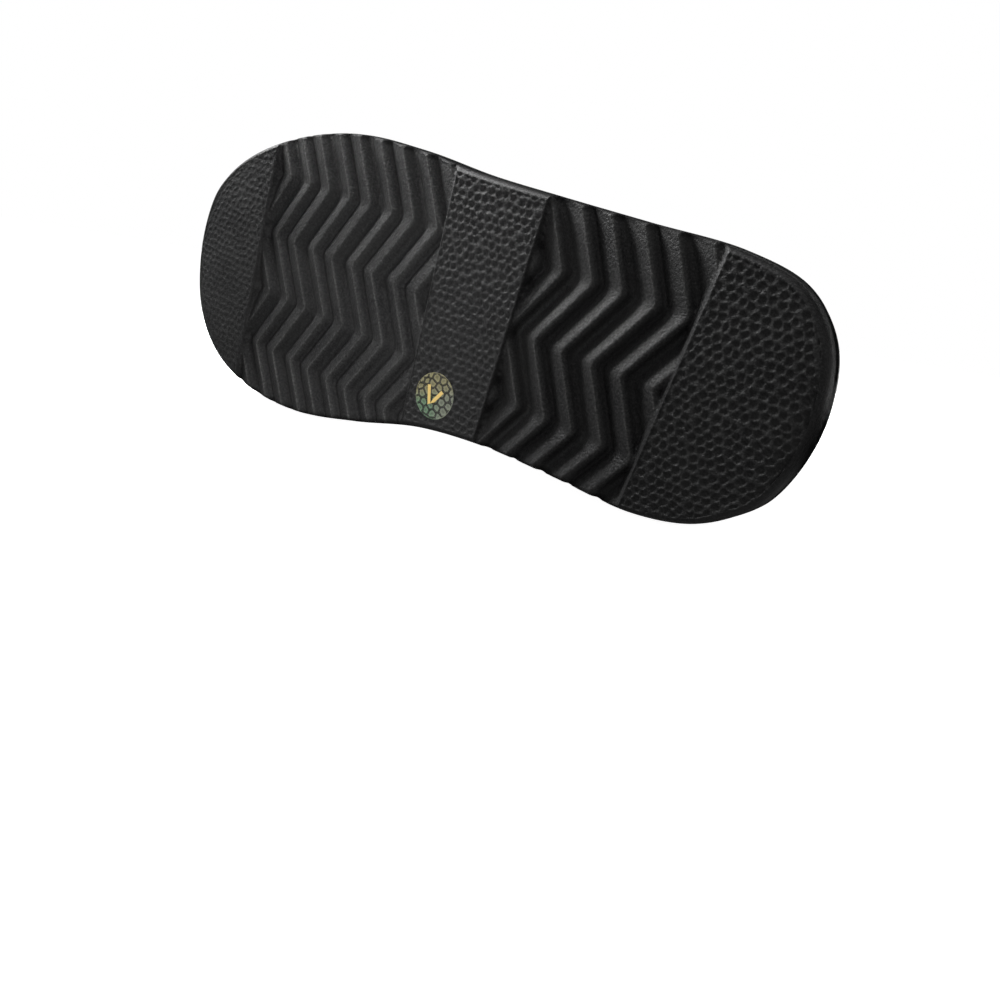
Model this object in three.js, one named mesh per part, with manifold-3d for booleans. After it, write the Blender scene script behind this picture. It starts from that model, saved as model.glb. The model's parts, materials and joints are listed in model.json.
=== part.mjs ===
// Left pull-on snow boot lying on its medial side, in millimetres.
// The boot is worked out standing (x to the toe, y to the wearer's left, z up, tread pads at z 0)
// and is then laid down on its sole edge and the side of its shaft.
import * as THREE from 'three';
import { ConvexHull } from 'three/addons/math/ConvexHull.js';
import Module from 'manifold-3d';

const wasm = await Module();
wasm.setup();

// Fit between pieces
const GAP = 0.3;

// Sole plan: the widest outline of the side wall, a row for each station along the foot
const HEEL_TIP = { x: 1, y: 13 };
const TOE_TIP = { x: 269, y: -4.5 };
const SOLE_ROWS = [
  { x: 5, lateral: 34.7, medial: -6.3 },
  { x: 12, lateral: 45.5, medial: -15 },
  { x: 22, lateral: 52.7, medial: -22.5 },
  { x: 40, lateral: 56.3, medial: -27.8 },
  { x: 70, lateral: 56.1, medial: -28.9 },
  { x: 100, lateral: 55.9, medial: -30.5 },
  { x: 130, lateral: 56, medial: -35.7 },
  { x: 160, lateral: 57.6, medial: -45.8 },
  { x: 190, lateral: 56.6, medial: -54 },
  { x: 218, lateral: 49.6, medial: -55 },
  { x: 240, lateral: 39.4, medial: -49.5 },
  { x: 255, lateral: 28.4, medial: -39.3 },
  { x: 264.5, lateral: 16.4, medial: -26.2 },
];
const OUTLINE_STATIONS = 38;
const CURVE_SAMPLES = 900;

// Sole heights
const HEEL_RIM = 25;
const FORE_RIM = 20;
const RIM_SLOPE_FROM = 40;
const RIM_SLOPE_TO = 150;
const CUP_DEPTH = 7;
const RIM_INNER_INSET = 5.5;
const TOE_SPRING = 3;
const SPRING_START = 236;
const HEEL_BEVEL = 1.2;
const HEEL_BEVEL_START = 12;

// Sole side wall, from the tread edge up: fraction of the rim height, and inset from the widest outline
const SIDE_ROWS = [
  { rise: 0, inset: 3 },
  { rise: 0.02, inset: 2.1 },
  { rise: 0.06, inset: 1.4 },
  { rise: 0.14, inset: 0.8 },
  { rise: 0.28, inset: 0.25 },
  { rise: 0.45, inset: 0 },
  { rise: 0.8, inset: 0.5 },
  { rise: 0.95, inset: 1.4 },
  { rise: 1, inset: 2.6 },
];
const LIP_INSET = 4.6;

// Tread: pad edges across the sole, with the slant of each edge per millimetre of y
const PAD_EDGES = {
  heel: { x: 44.1, slant: -0.02 },
  stripRear: { x: 102.3, slant: 0.007 },
  stripFront: { x: 136.4, slant: 0.057 },
  toe: { x: 226.9, slant: -0.009 },
};
const PAD_BEVEL = 2.6;
const RIB_RECESS = 1;
const ZIGZAG_ROW = 22.6;
const ZIGZAG_FIRST_ROW = 34;
const ZIGZAG_SWING = 13.4;
const ZIGZAG_KNOTS = 8;
// Grooves: depth from the pads, and reach to the heel side (rear) and toe side (front) of the groove's line
// The first row reaches the crests on both sides, the second the foot of the rib's top, the last the floor
const GROOVES = {
  fore: {
    wide: [
      { depth: RIB_RECESS, rear: 8.1, front: 2.5 },
      { depth: 1.9, rear: 4.6, front: 0.2 },
      { depth: 3, rear: 3, front: 0 },
    ],
    narrow: [
      { depth: RIB_RECESS, rear: 7.2, front: 2.8 },
      { depth: 1.9, rear: 2.6, front: 0.2 },
      { depth: 3, rear: 1.2, front: 0 },
    ],
  },
  heel: {
    wide: [
      { depth: RIB_RECESS, rear: 9, front: 1.8 },
      { depth: 2.3, rear: 5.7, front: 0.2 },
      { depth: 4.7, rear: 2, front: 0 },
    ],
    narrow: [
      { depth: RIB_RECESS, rear: 7.8, front: 2.4 },
      { depth: 2.3, rear: 3.9, front: 0.2 },
      { depth: 4.7, rear: 0.4, front: 0 },
    ],
  },
};
const FIELD_DEPTH = 4.7;
const FIELDS = [
  {
    rear: 'stripFront', front: 'toe', grooves: 'fore',
    wideAt: 150.2, narrowAt: 160.3, pitch: 21.43, from: -1, to: 4,
  },
  {
    rear: 'heel', front: 'stripRear', grooves: 'heel',
    wideAt: 88.4, narrowAt: 76.6, pitch: 21.8, from: -3, to: 1,
  },
];
// A groove's mouth opens a little below the ribs
const MOUTH_FLARE = 0.4;
const CUT_BELOW = 3;
const CUT_SIDE = 75;

// Upper: wall, collar and the foot's ridge line from heel to toe
const WALL = 3;
const COLLAR_Z = 176;
const RIDGE_ROWS = [
  { x: 0, top: 44 },
  { x: 30, top: 66 },
  { x: 60, top: 92 },
  { x: 100, top: 108 },
  { x: 128, top: 99 },
  { x: 155, top: 84.5 },
  { x: 185, top: 72.5 },
  { x: 215, top: 66 },
  { x: 269, top: 61 },
];
const TOE_ROUND_START = 216;
const TOE_ROUND_POWER = 2.6;
const SECTION_SIDE_POWER = 2.5;
const SECTION_TOP_POWER = 2.3;
const SIDE_BULGE = 0.05;
const BULGE_RISE = 16;
// Shaft sections: extents in x and y at each height
const SHAFT_ROWS = [
  { z: 20, back: 10, front: 112, lateral: 47, medial: -19 },
  { z: 32, back: 6.4, front: 117, lateral: 51, medial: -23.5 },
  { z: 50, back: 5.8, front: 121, lateral: 52.5, medial: -25 },
  { z: 75, back: 8.2, front: 122, lateral: 51.5, medial: -24.5 },
  { z: 105, back: 11.2, front: 119, lateral: 51, medial: -24.5 },
  { z: 140, back: 14.4, front: 118.5, lateral: 52.5, medial: -26 },
  { z: 176, back: 18, front: 121, lateral: 54.5, medial: -28 },
];
const SHAFT_POWER = 2.25;
const INSTEP_BLEND = 16;
const FOOT_SCALE = 34;
const AXIS = { x: 64, y: 13 };
const PIVOT = { r: 14, z: 46 };
const SHAFT_CAST_FROM = 130;
// Rays that find the surface from inside the foot and across the shaft
const FOOT_RAYS = 260;
const FOOT_REACH = 260;
const SHAFT_RAYS = 40;
const SHAFT_REACH = 160;
const RAY_STEP = 2;
const RAY_HALVINGS = 22;
const FIRST_RAY_OVER_RIM = 1;
const LAST_RING_OVER_RIM = 0.4;
const ANGLE_SHARE = 0.5;
const TINY = 1e-6;
const MERIDIANS = 66;
const RINGS = 27;
const RIM_RINGS = 3;
// Rings close up where a meridian bends: millimetres of extra length per radian of turn
const BEND_LENGTH = 55;
const BEND_LIMIT = 0.2;

// Insole
const INSOLE_THICKNESS = 4;
const INSOLE_PLAY = 0.9;

// A face of the boot's hull counts as medial when its normal leans this far to that side
const MEDIAL_FACING = -0.9;

const lerp = THREE.MathUtils.lerp;
const smoothstep = THREE.MathUtils.smoothstep;

// Smooth column of a table at a value of its key column
function column(rows, key, name, at) {
  const last = rows.length - 1;
  if (at <= rows[0][key]) {
    return rows[0][name];
  }
  if (at >= rows[last][key]) {
    return rows[last][name];
  }
  let i = 0;
  while (rows[i + 1][key] < at) {
    i += 1;
  }
  const slope = (k) => {
    const lo = rows[Math.max(k - 1, 0)];
    const hi = rows[Math.min(k + 1, last)];
    return (hi[name] - lo[name]) / (hi[key] - lo[key]);
  };
  const span = rows[i + 1][key] - rows[i][key];
  const t = (at - rows[i][key]) / span;
  const a = rows[i][name];
  const b = rows[i + 1][name];
  const h = t * t * (3 - 2 * t);
  const ease = span * (t * (1 - t) * (1 - t) * slope(i) - t * t * (1 - t) * slope(i + 1));
  return lerp(a, b, h) + ease;
}

function rimHeight(x) {
  return lerp(HEEL_RIM, FORE_RIM, smoothstep(x, RIM_SLOPE_FROM, RIM_SLOPE_TO));
}

function cupFloor(x) {
  return rimHeight(x) - CUP_DEPTH;
}

// Lift of the whole foot at the toe, and of the tread at the back of the heel
function springLift(x) {
  const toe = Math.max(0, (x - SPRING_START) / (TOE_TIP.x - SPRING_START));
  const heel = Math.max(0, (HEEL_BEVEL_START - x) / HEEL_BEVEL_START);
  return TOE_SPRING * toe * toe + HEEL_BEVEL * heel * heel;
}

// Widest outline as dense points, anticlockwise from the heel tip, with outward normals
function denseOutline() {
  const medial = SOLE_ROWS.map((row) => new THREE.Vector3(row.x, row.medial, 0));
  const lateral = SOLE_ROWS.map((row) => new THREE.Vector3(row.x, row.lateral, 0)).reverse();
  const heel = new THREE.Vector3(HEEL_TIP.x, HEEL_TIP.y, 0);
  const toe = new THREE.Vector3(TOE_TIP.x, TOE_TIP.y, 0);
  const curve = new THREE.CatmullRomCurve3([heel, ...medial, toe, ...lateral], true, 'centripetal');
  const points = [];
  for (let i = 0; i < CURVE_SAMPLES; i += 1) {
    const at = curve.getPoint(i / CURVE_SAMPLES);
    const along = curve.getTangent(i / CURVE_SAMPLES);
    points.push({ x: at.x, y: at.y, nx: along.y, ny: -along.x });
  }
  return points;
}

const OUTLINE = denseOutline();

function insetOutline(inset) {
  return OUTLINE.map((p) => ({ x: p.x - p.nx * inset, y: p.y - p.ny * inset }));
}

// The two edges of an inset outline as rows over x
function outlineEdges(inset) {
  const points = insetOutline(inset);
  const xs = points.map((p) => p.x);
  const heel = xs.indexOf(Math.min(...xs));
  const toe = xs.indexOf(Math.max(...xs));
  const turn = [...points.slice(heel), ...points.slice(0, heel)];
  const split = (toe - heel + points.length) % points.length;
  return { medial: turn.slice(0, split + 1), lateral: [...turn.slice(split), turn[0]].reverse() };
}

function edgeY(edge, x) {
  let lo = 0;
  let hi = edge.length - 1;
  while (hi - lo > 1) {
    const mid = (lo + hi) >> 1;
    if (edge[mid].x <= x) {
      lo = mid;
    } else {
      hi = mid;
    }
  }
  const span = edge[hi].x - edge[lo].x;
  const t = span > 0 ? THREE.MathUtils.clamp((x - edge[lo].x) / span, 0, 1) : 0;
  return lerp(edge[lo].y, edge[hi].y, t);
}

// A ring round the foot: heel tip, medial stations, toe tip, lateral stations
function ring(inset, height) {
  const edges = outlineEdges(inset);
  const heel = edges.medial[0];
  const toe = edges.medial[edges.medial.length - 1];
  const station = (i) => lerp(heel.x, toe.x, (1 - Math.cos((Math.PI * i) / OUTLINE_STATIONS)) / 2);
  const points = [];
  for (let i = 0; i <= OUTLINE_STATIONS; i += 1) {
    const x = station(i);
    points.push(new THREE.Vector3(x, edgeY(edges.medial, x), height(x)));
  }
  for (let i = OUTLINE_STATIONS - 1; i > 0; i -= 1) {
    const x = station(i);
    points.push(new THREE.Vector3(x, edgeY(edges.lateral, x), height(x)));
  }
  return points;
}

// Closed solid from rings stacked from the under side to the upper side, capped across the foot
function stackRings(rings) {
  const count = rings[0].length;
  const half = count / 2;
  const positions = rings.flat().flatMap((p) => [p.x, p.y, p.z]);
  const faces = [];
  for (let k = 0; k + 1 < rings.length; k += 1) {
    for (let i = 0; i < count; i += 1) {
      const j = (i + 1) % count;
      const a = k * count + i;
      const b = k * count + j;
      faces.push(a, b, b + count, a, b + count, a + count);
    }
  }
  const top = (rings.length - 1) * count;
  for (let i = 0; i < half; i += 1) {
    const a = i;
    const b = i + 1;
    const c = (count - i - 1) % count;
    const d = (count - i) % count;
    const quads = [[a, c, b], [a, d, c]];
    for (const [p, q, r] of quads) {
      if (p !== q && q !== r && p !== r) {
        faces.push(p, q, r, top + p, top + r, top + q);
      }
    }
  }
  return { positions, faces };
}

function toManifold({ positions, faces }) {
  const mesh = new wasm.Mesh({
    numProp: 3,
    vertProperties: new Float32Array(positions),
    triVerts: new Uint32Array(faces),
  });
  return new wasm.Manifold(mesh);
}

// Triangle wave of the tread across the sole
function zigzag(y) {
  const phase = Math.abs(((ZIGZAG_FIRST_ROW - y) / ZIGZAG_ROW) % 2);
  return ZIGZAG_SWING * (phase <= 1 ? phase : 2 - phase);
}

// A bar across the sole, given by its two edges at a set of y knots for each level
function crossBar(levels, knots) {
  const positions = [];
  const faces = [];
  const width = knots.length * 2;
  for (const level of levels) {
    for (const y of knots) {
      positions.push(level.low(y), y, level.z);
    }
    for (const y of [...knots].reverse()) {
      positions.push(level.high(y), y, level.z);
    }
  }
  for (let k = 0; k + 1 < levels.length; k += 1) {
    for (let i = 0; i < width; i += 1) {
      const j = (i + 1) % width;
      const a = k * width + i;
      const b = k * width + j;
      faces.push(a, b, b + width, a, b + width, a + width);
    }
  }
  const top = (levels.length - 1) * width;
  for (let i = 0; i + 1 < knots.length; i += 1) {
    const j = width - 1 - i;
    faces.push(i, j, i + 1, j, j - 1, i + 1);
    faces.push(top + i, top + i + 1, top + j, top + j, top + i + 1, top + j - 1);
  }
  return toManifold({ positions, faces });
}

// Knots run from the lateral side to the medial side so that the bar faces outward
function grooveBar(at, profile) {
  const firstKnot = ZIGZAG_FIRST_ROW + 2 * ZIGZAG_ROW;
  const knots = Array.from({ length: ZIGZAG_KNOTS }, (_, i) => firstKnot - i * ZIGZAG_ROW);
  const { rear: mouthRear, front: mouthFront } = profile[0];
  const mouth = { depth: -CUT_BELOW, rear: mouthRear + MOUTH_FLARE, front: mouthFront + MOUTH_FLARE };
  const levels = [mouth, ...profile].map(({ depth, rear, front }) => ({
    z: depth,
    low: (y) => at + zigzag(y) - rear,
    high: (y) => at + zigzag(y) + front,
  }));
  return crossBar(levels, knots);
}

function fieldBar(rear, front, depth) {
  const edge = (pad, y) => pad.x + pad.slant * y;
  const level = (z, draft) => ({
    z,
    low: (y) => edge(rear, y) + draft,
    high: (y) => edge(front, y) - draft,
  });
  const slope = PAD_BEVEL / depth;
  return crossBar([level(-CUT_BELOW, -slope * CUT_BELOW), level(depth, PAD_BEVEL)], [CUT_SIDE, -CUT_SIDE]);
}

// All that is cut from one zigzag field between two pads
function fieldCut(field) {
  const rear = PAD_EDGES[field.rear];
  const front = PAD_EDGES[field.front];
  const { wide, narrow } = GROOVES[field.grooves];
  const flat = (z) => ({ z, low: () => rear.x - CUT_SIDE, high: () => front.x + CUT_SIDE });
  let cut = crossBar([flat(-CUT_BELOW), flat(RIB_RECESS)], [CUT_SIDE, -CUT_SIDE]);
  for (let k = field.from; k <= field.to; k += 1) {
    cut = cut.add(grooveBar(field.wideAt + k * field.pitch, wide));
    cut = cut.add(grooveBar(field.narrowAt + k * field.pitch, narrow));
  }
  return cut.intersect(fieldBar(rear, front, FIELD_DEPTH));
}

function outsoleSolid() {
  const wall = SIDE_ROWS.map((row) => ring(row.inset, (x) => row.rise * rimHeight(x)));
  const lip = ring(LIP_INSET, (x) => rimHeight(x));
  const cup = ring(RIM_INNER_INSET, (x) => cupFloor(x));
  const body = toManifold(stackRings([...wall, lip, cup]));
  const cut = FIELDS.map(fieldCut).reduce((a, b) => a.add(b));
  const mesh = body.subtract(cut).getMesh();
  const positions = Array.from(mesh.vertProperties);
  for (let i = 0; i < positions.length; i += 3) {
    positions[i + 2] += springLift(positions[i]);
  }
  return { positions, faces: Array.from(mesh.triVerts) };
}

// Foot form above the feather line, negative inside
const FEATHER = outlineEdges(RIM_INNER_INSET + GAP);
const FEATHER_HEEL = FEATHER.medial[0].x;
const FEATHER_TOE = FEATHER.medial[FEATHER.medial.length - 1].x;

function ridgeHeight(x) {
  const along = Math.max(0, (x - TOE_ROUND_START) / (FEATHER_TOE - TOE_ROUND_START));
  const round = Math.pow(Math.max(TINY, 1 - Math.pow(along, TOE_ROUND_POWER)), 1 / TOE_ROUND_POWER);
  return (column(RIDGE_ROWS, 'x', 'top', x) - cupFloor(x)) * round;
}

function footField(x, y, z) {
  if (x <= FEATHER_HEEL || x >= FEATHER_TOE) {
    return FOOT_SCALE;
  }
  const base = cupFloor(x) + springLift(x);
  const lateral = edgeY(FEATHER.lateral, x);
  const medial = edgeY(FEATHER.medial, x);
  const swell = 1 + SIDE_BULGE * smoothstep(z, rimHeight(x), rimHeight(x) + BULGE_RISE);
  const u = Math.abs(y - (lateral + medial) / 2) / (((lateral - medial) / 2) * swell + TINY);
  const v = Math.max(0, z - base) / (ridgeHeight(x) + TINY);
  const sum = Math.pow(u, SECTION_SIDE_POWER) + Math.pow(v, SECTION_TOP_POWER);
  return (Math.pow(sum, 1 / SECTION_SIDE_POWER) - 1) * FOOT_SCALE;
}

// Shaft form, negative inside
function shaftField(x, y, z) {
  const at = (name) => column(SHAFT_ROWS, 'z', name, z);
  const along = (at('front') - at('back')) / 2;
  const across = (at('lateral') - at('medial')) / 2;
  const u = Math.abs(x - (at('front') + at('back')) / 2) / along;
  const v = Math.abs(y - (at('lateral') + at('medial')) / 2) / across;
  const sum = Math.pow(u, SHAFT_POWER) + Math.pow(v, SHAFT_POWER);
  return (Math.pow(sum, 1 / SHAFT_POWER) - 1) * across;
}

// Foot and shaft run into each other at the instep with a soft bend
function upperField(x, y, z) {
  const foot = footField(x, y, z);
  const shaft = shaftField(x, y, z);
  const mix = Math.max(0, INSTEP_BLEND - Math.abs(foot - shaft)) / INSTEP_BLEND;
  return Math.min(foot, shaft) - (mix * mix * INSTEP_BLEND) / 4;
}

// Distance along a ray to the surface of the upper
function castRay(from, step, reach) {
  const inside = (t) => upperField(from.x + step.x * t, from.y + step.y * t, from.z + step.z * t) < 0;
  let hi = RAY_STEP;
  while (hi < reach && inside(hi)) {
    hi += RAY_STEP;
  }
  let lo = hi - RAY_STEP;
  for (let i = 0; i < RAY_HALVINGS; i += 1) {
    const mid = (lo + hi) / 2;
    if (inside(mid)) {
      lo = mid;
    } else {
      hi = mid;
    }
  }
  return lo;
}

// Starts of the meridians on the feather line, spread partly by angle and partly by length
function meridianStarts() {
  const points = insetOutline(RIM_INNER_INSET + GAP);
  const weights = [0];
  const size = points.length;
  const turnOf = (p, q) => {
    const a = Math.atan2(p.y - AXIS.y, p.x - AXIS.x);
    const b = Math.atan2(q.y - AXIS.y, q.x - AXIS.x);
    return Math.abs(Math.atan2(Math.sin(b - a), Math.cos(b - a))) / (2 * Math.PI);
  };
  const lengthOf = (p, q) => Math.hypot(q.x - p.x, q.y - p.y);
  const perimeter = points.reduce((sum, p, i) => sum + lengthOf(p, points[(i + 1) % size]), 0);
  for (let i = 0; i < size; i += 1) {
    const q = points[(i + 1) % size];
    const byLength = lengthOf(points[i], q) / perimeter;
    weights.push(weights[i] + lerp(byLength, turnOf(points[i], q), ANGLE_SHARE));
  }
  const total = weights[size];
  let k = 0;
  return Array.from({ length: MERIDIANS }, (_, i) => {
    const want = (total * i) / MERIDIANS;
    while (weights[k + 1] < want) {
      k += 1;
    }
    const t = (want - weights[k]) / (weights[k + 1] - weights[k]);
    const q = points[(k + 1) % size];
    return { x: lerp(points[k].x, q.x, t), y: lerp(points[k].y, q.y, t) };
  });
}

// One meridian of the upper, from the feather line over the foot and up the shaft to the collar
function meridian(start) {
  const reach = Math.hypot(start.x - AXIS.x, start.y - AXIS.y);
  const dir = { x: (start.x - AXIS.x) / reach, y: (start.y - AXIS.y) / reach };
  const point = (r, z) => new THREE.Vector3(AXIS.x + dir.x * r, AXIS.y + dir.y * r, z);
  const base = cupFloor(start.x) + springLift(start.x) + GAP;
  const rim = rimHeight(start.x) + springLift(start.x);
  const pivot = point(PIVOT.r, PIVOT.z);
  const path = [];
  const from = Math.atan2(rim + FIRST_RAY_OVER_RIM - PIVOT.z, reach - PIVOT.r);
  for (let i = 0; i <= FOOT_RAYS; i += 1) {
    const tilt = lerp(from, Math.PI / 2, i / FOOT_RAYS);
    const step = { x: dir.x * Math.cos(tilt), y: dir.y * Math.cos(tilt), z: Math.sin(tilt) };
    const t = castRay(pivot, step, FOOT_REACH);
    const hit = point(PIVOT.r + Math.cos(tilt) * t, PIVOT.z + Math.sin(tilt) * t);
    if (hit.z > SHAFT_CAST_FROM) {
      break;
    }
    path.push(hit);
  }
  for (let i = 0; i <= SHAFT_RAYS; i += 1) {
    const z = lerp(SHAFT_CAST_FROM, COLLAR_Z, i / SHAFT_RAYS);
    const r = castRay(point(0, z), { x: dir.x, y: dir.y, z: 0 }, SHAFT_REACH);
    path.push(point(r, z));
  }
  const weights = [0];
  for (let i = 1; i < path.length; i += 1) {
    const ahead = path[Math.min(i + 1, path.length - 1)].clone().sub(path[i]);
    const turn = ahead.lengthSq() > 0 ? ahead.angleTo(path[i].clone().sub(path[i - 1])) : 0;
    weights.push(weights[i - 1] + path[i].distanceTo(path[i - 1]) + BEND_LENGTH * Math.min(turn, BEND_LIMIT));
  }
  const rings = [];
  for (let i = 0; i < RIM_RINGS; i += 1) {
    const z = lerp(base, rim + LAST_RING_OVER_RIM, i / (RIM_RINGS - 1));
    rings.push(new THREE.Vector3(start.x, start.y, z));
  }
  const rest = RINGS - RIM_RINGS;
  let k = 0;
  for (let i = 1; i <= rest; i += 1) {
    const want = (weights[weights.length - 1] * i) / rest;
    while (k + 2 < weights.length && weights[k + 1] < want) {
      k += 1;
    }
    const t = (want - weights[k]) / (weights[k + 1] - weights[k]);
    rings.push(path[k].clone().lerp(path[k + 1], Math.min(1, t)));
  }
  return rings;
}

// Hollow upper, open at the collar and underneath
function upperSolid() {
  const grid = meridianStarts().map(meridian);
  const count = grid.length;
  const inner = grid.map((line, i) =>
    line.map((p, j) => {
      const next = grid[(i + 1) % count][j];
      const before = grid[(i + count - 1) % count][j];
      const above = line[Math.min(j + 1, RINGS - 1)];
      const below = line[Math.max(j - 1, 0)];
      const normal = next.clone().sub(before).cross(above.clone().sub(below));
      if (j < RIM_RINGS || j === RINGS - 1) {
        normal.z = 0;
      }
      return p.clone().addScaledVector(normal.normalize(), -WALL);
    }),
  );
  const positions = [...grid.flat(), ...inner.flat()].flatMap((p) => [p.x, p.y, p.z]);
  const faces = [];
  const outerAt = (i, j) => (i % count) * RINGS + j;
  const innerAt = (i, j) => count * RINGS + outerAt(i, j);
  for (let i = 0; i < count; i += 1) {
    for (let j = 0; j + 1 < RINGS; j += 1) {
      faces.push(outerAt(i, j), outerAt(i + 1, j), outerAt(i + 1, j + 1));
      faces.push(outerAt(i, j), outerAt(i + 1, j + 1), outerAt(i, j + 1));
      faces.push(innerAt(i, j), innerAt(i + 1, j + 1), innerAt(i + 1, j));
      faces.push(innerAt(i, j), innerAt(i, j + 1), innerAt(i + 1, j + 1));
    }
    const top = RINGS - 1;
    faces.push(outerAt(i, 0), innerAt(i + 1, 0), outerAt(i + 1, 0));
    faces.push(outerAt(i, 0), innerAt(i, 0), innerAt(i + 1, 0));
    faces.push(outerAt(i, top), outerAt(i + 1, top), innerAt(i + 1, top));
    faces.push(outerAt(i, top), innerAt(i + 1, top), innerAt(i, top));
  }
  return { positions, faces };
}

function insoleSolid() {
  const inset = RIM_INNER_INSET + GAP + WALL + INSOLE_PLAY;
  const under = (x) => cupFloor(x) + springLift(x) + GAP;
  const over = (x) => under(x) + INSOLE_THICKNESS;
  return stackRings([ring(inset, under), ring(inset, over)]);
}

function pieceMesh(name, solid, look) {
  const geometry = new THREE.BufferGeometry();
  geometry.setAttribute('position', new THREE.Float32BufferAttribute(solid.positions, 3));
  geometry.setIndex(solid.faces);
  geometry.computeVertexNormals();
  const mesh = new THREE.Mesh(geometry, new THREE.MeshStandardMaterial(look));
  mesh.name = name;
  return mesh;
}

// The face of the boot's hull on which it lies: the largest one that looks to the medial side
function lyingFace(pieces) {
  const points = pieces.flatMap((mesh) => {
    const at = mesh.geometry.attributes.position;
    return Array.from({ length: at.count }, (_, i) => new THREE.Vector3().fromBufferAttribute(at, i));
  });
  const hull = new ConvexHull().setFromPoints(points);
  const faces = hull.faces.filter((face) => face.normal.y < MEDIAL_FACING);
  return faces.reduce((best, face) => (face.area > best.area ? face : best));
}

const outsole = pieceMesh('outsole', outsoleSolid(), { color: 0x2b2b2c, roughness: 0.6, metalness: 0 });
const upper = pieceMesh('upper', upperSolid(), { color: 0x101011, roughness: 0.95, metalness: 0 });
const insole = pieceMesh('insole', insoleSolid(), { color: 0x2a2927, roughness: 0.98, metalness: 0 });
const pieces = [outsole, upper, insole];

const boot = new THREE.Group();
boot.name = 'standing_boot';
boot.add(...pieces);

// Laid down with that face to the floor, the toe to -x and the tread to -y
const down = lyingFace(pieces).normal.clone();
const heelward = new THREE.Vector3(-1, 0, 0).addScaledVector(down, down.x).normalize();
const up = down.clone().negate();
const side = up.clone().cross(heelward);
const laid = new THREE.Matrix4().makeBasis(heelward, side, up).transpose();
boot.quaternion.setFromRotationMatrix(laid);

// Origin at the middle of the floor under the lying boot
boot.updateMatrixWorld(true);
const box = new THREE.Box3().setFromObject(boot, true);
boot.position.set(-(box.min.x + box.max.x) / 2, -(box.min.y + box.max.y) / 2, -box.min.z);

const snowBoot = new THREE.Group();
snowBoot.name = 'snow_boot';
snowBoot.add(boot);

export default snowBoot;
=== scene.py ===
"""Dresses a left snow boot that lies on its medial side with its tread to the viewer.

Forms are worked out standing, in millimetres: x runs to the toe, y to the lateral side and
z up from the tread pads.
"""

import json
import logging
import math
from dataclasses import dataclass
from enum import Enum
from functools import cache
from typing import NamedTuple, Sequence

import bmesh
import bpy
import numpy as np
from bpy.types import Material, Node, NodeSocket, NodeTree, Object
from mathutils import Matrix


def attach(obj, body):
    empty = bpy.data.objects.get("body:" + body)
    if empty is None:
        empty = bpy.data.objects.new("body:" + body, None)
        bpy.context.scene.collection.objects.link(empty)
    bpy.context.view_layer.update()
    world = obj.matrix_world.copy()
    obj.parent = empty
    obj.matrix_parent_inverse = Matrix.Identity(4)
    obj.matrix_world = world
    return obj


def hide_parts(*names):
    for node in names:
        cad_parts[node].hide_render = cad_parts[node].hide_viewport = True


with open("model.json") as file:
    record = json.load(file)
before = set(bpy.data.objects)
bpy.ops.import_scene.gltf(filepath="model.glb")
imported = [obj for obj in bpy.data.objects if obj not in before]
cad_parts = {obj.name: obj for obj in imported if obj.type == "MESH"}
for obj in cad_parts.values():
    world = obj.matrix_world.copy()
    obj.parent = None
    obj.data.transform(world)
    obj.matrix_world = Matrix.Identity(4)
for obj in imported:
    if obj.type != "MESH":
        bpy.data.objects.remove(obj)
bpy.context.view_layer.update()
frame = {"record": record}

LOG = logging.getLogger("snow_boot")
BODY = "root"
MM = 0.001
TINY = 1e-6
MERGE = 2e-6
ROUNDING_TAPS = 5
CORNER_DECIMALS = 3
WHITE = (1.0, 1.0, 1.0)

Array = np.ndarray
Span = tuple[float, float]
Point = tuple[float, float, float]
Colour = tuple[float, float, float]


class Slot(Enum):
    """Material slots of the record."""

    SOLE = "sole"
    UPPER = "upper"
    INSOLE = "insole"


class Layer(Enum):
    """Values that the points of a piece carry for its finish."""

    # Share of a pale colour on the ribs, partly worn and partly painted highlight.
    WEAR_AND_HIGHLIGHT = "wear_and_highlight"
    # Share of painted shade on the sole's rim and sloped pad edges.
    RIM_SHADE = "rim"
    POCKET = "pocket"
    TINT = "tint"


class SoleRow(NamedTuple):
    """Widest outline of the sole at one station."""

    x: float
    lateral: float
    medial: float


class SideRow(NamedTuple):
    """Side wall: share of the rim height and inset from the widest outline."""

    rise: float
    inset: float


class PadEdge(NamedTuple):
    """A pad's straight edge across the sole and its slant per millimetre of y."""

    x: float
    slant: float


class GrooveRow(NamedTuple):
    """Groove wall: depth below the pads and reach to the heel side and the toe side of its line."""

    depth: float
    rear: float
    front: float


class EdgeRow(NamedTuple):
    """Pad edge: distance into the rib field and depth allowed there."""

    inward: float
    depth: float


class ScuffAndHighlight(NamedTuple):
    """Scuffed place on the ribs, partly worn and partly painted highlight: its middle, its reach, and the
    lightening of tops and crests there.
    """

    x: float
    y: float
    along: float
    across: float
    tops: float
    crests: float


class RidgeRow(NamedTuple):
    """Top of the foot over one station."""

    x: float
    top: float


class ShaftRow(NamedTuple):
    """Extents of the shaft at one height."""

    z: float
    back: float
    front: float
    lateral: float
    medial: float


class Crease(NamedTuple):
    """Soft trough round the ankle: height at the front, fall per millimetre back, reach and section."""

    front_z: float
    fall: float
    reach: float
    depth: float
    width: float


class Lamp(NamedTuple):
    """Square lamp: place and aim in the standing frame, side in metres and power in watts."""

    name: str
    at: Point
    aim: Point
    size: float
    power: float


def smoothstep(value: Array, low: float, high: float) -> Array:
    """Eases from 0 at low to 1 at high along a cubic.

    Args:
        value: Where to read the ramp.
        low: Value at which the ramp starts.
        high: Value at which it ends.

    Returns:
        The ramp, from 0 to 1.
    """
    t = np.clip((value - low) / (high - low), 0.0, 1.0)
    return t * t * (3.0 - 2.0 * t)


def bell(off: Array, width: float) -> Array:
    """Bell curve: one at no offset, falling by the square of the offset in widths."""
    return np.exp(-((off / width) ** 2))


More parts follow.
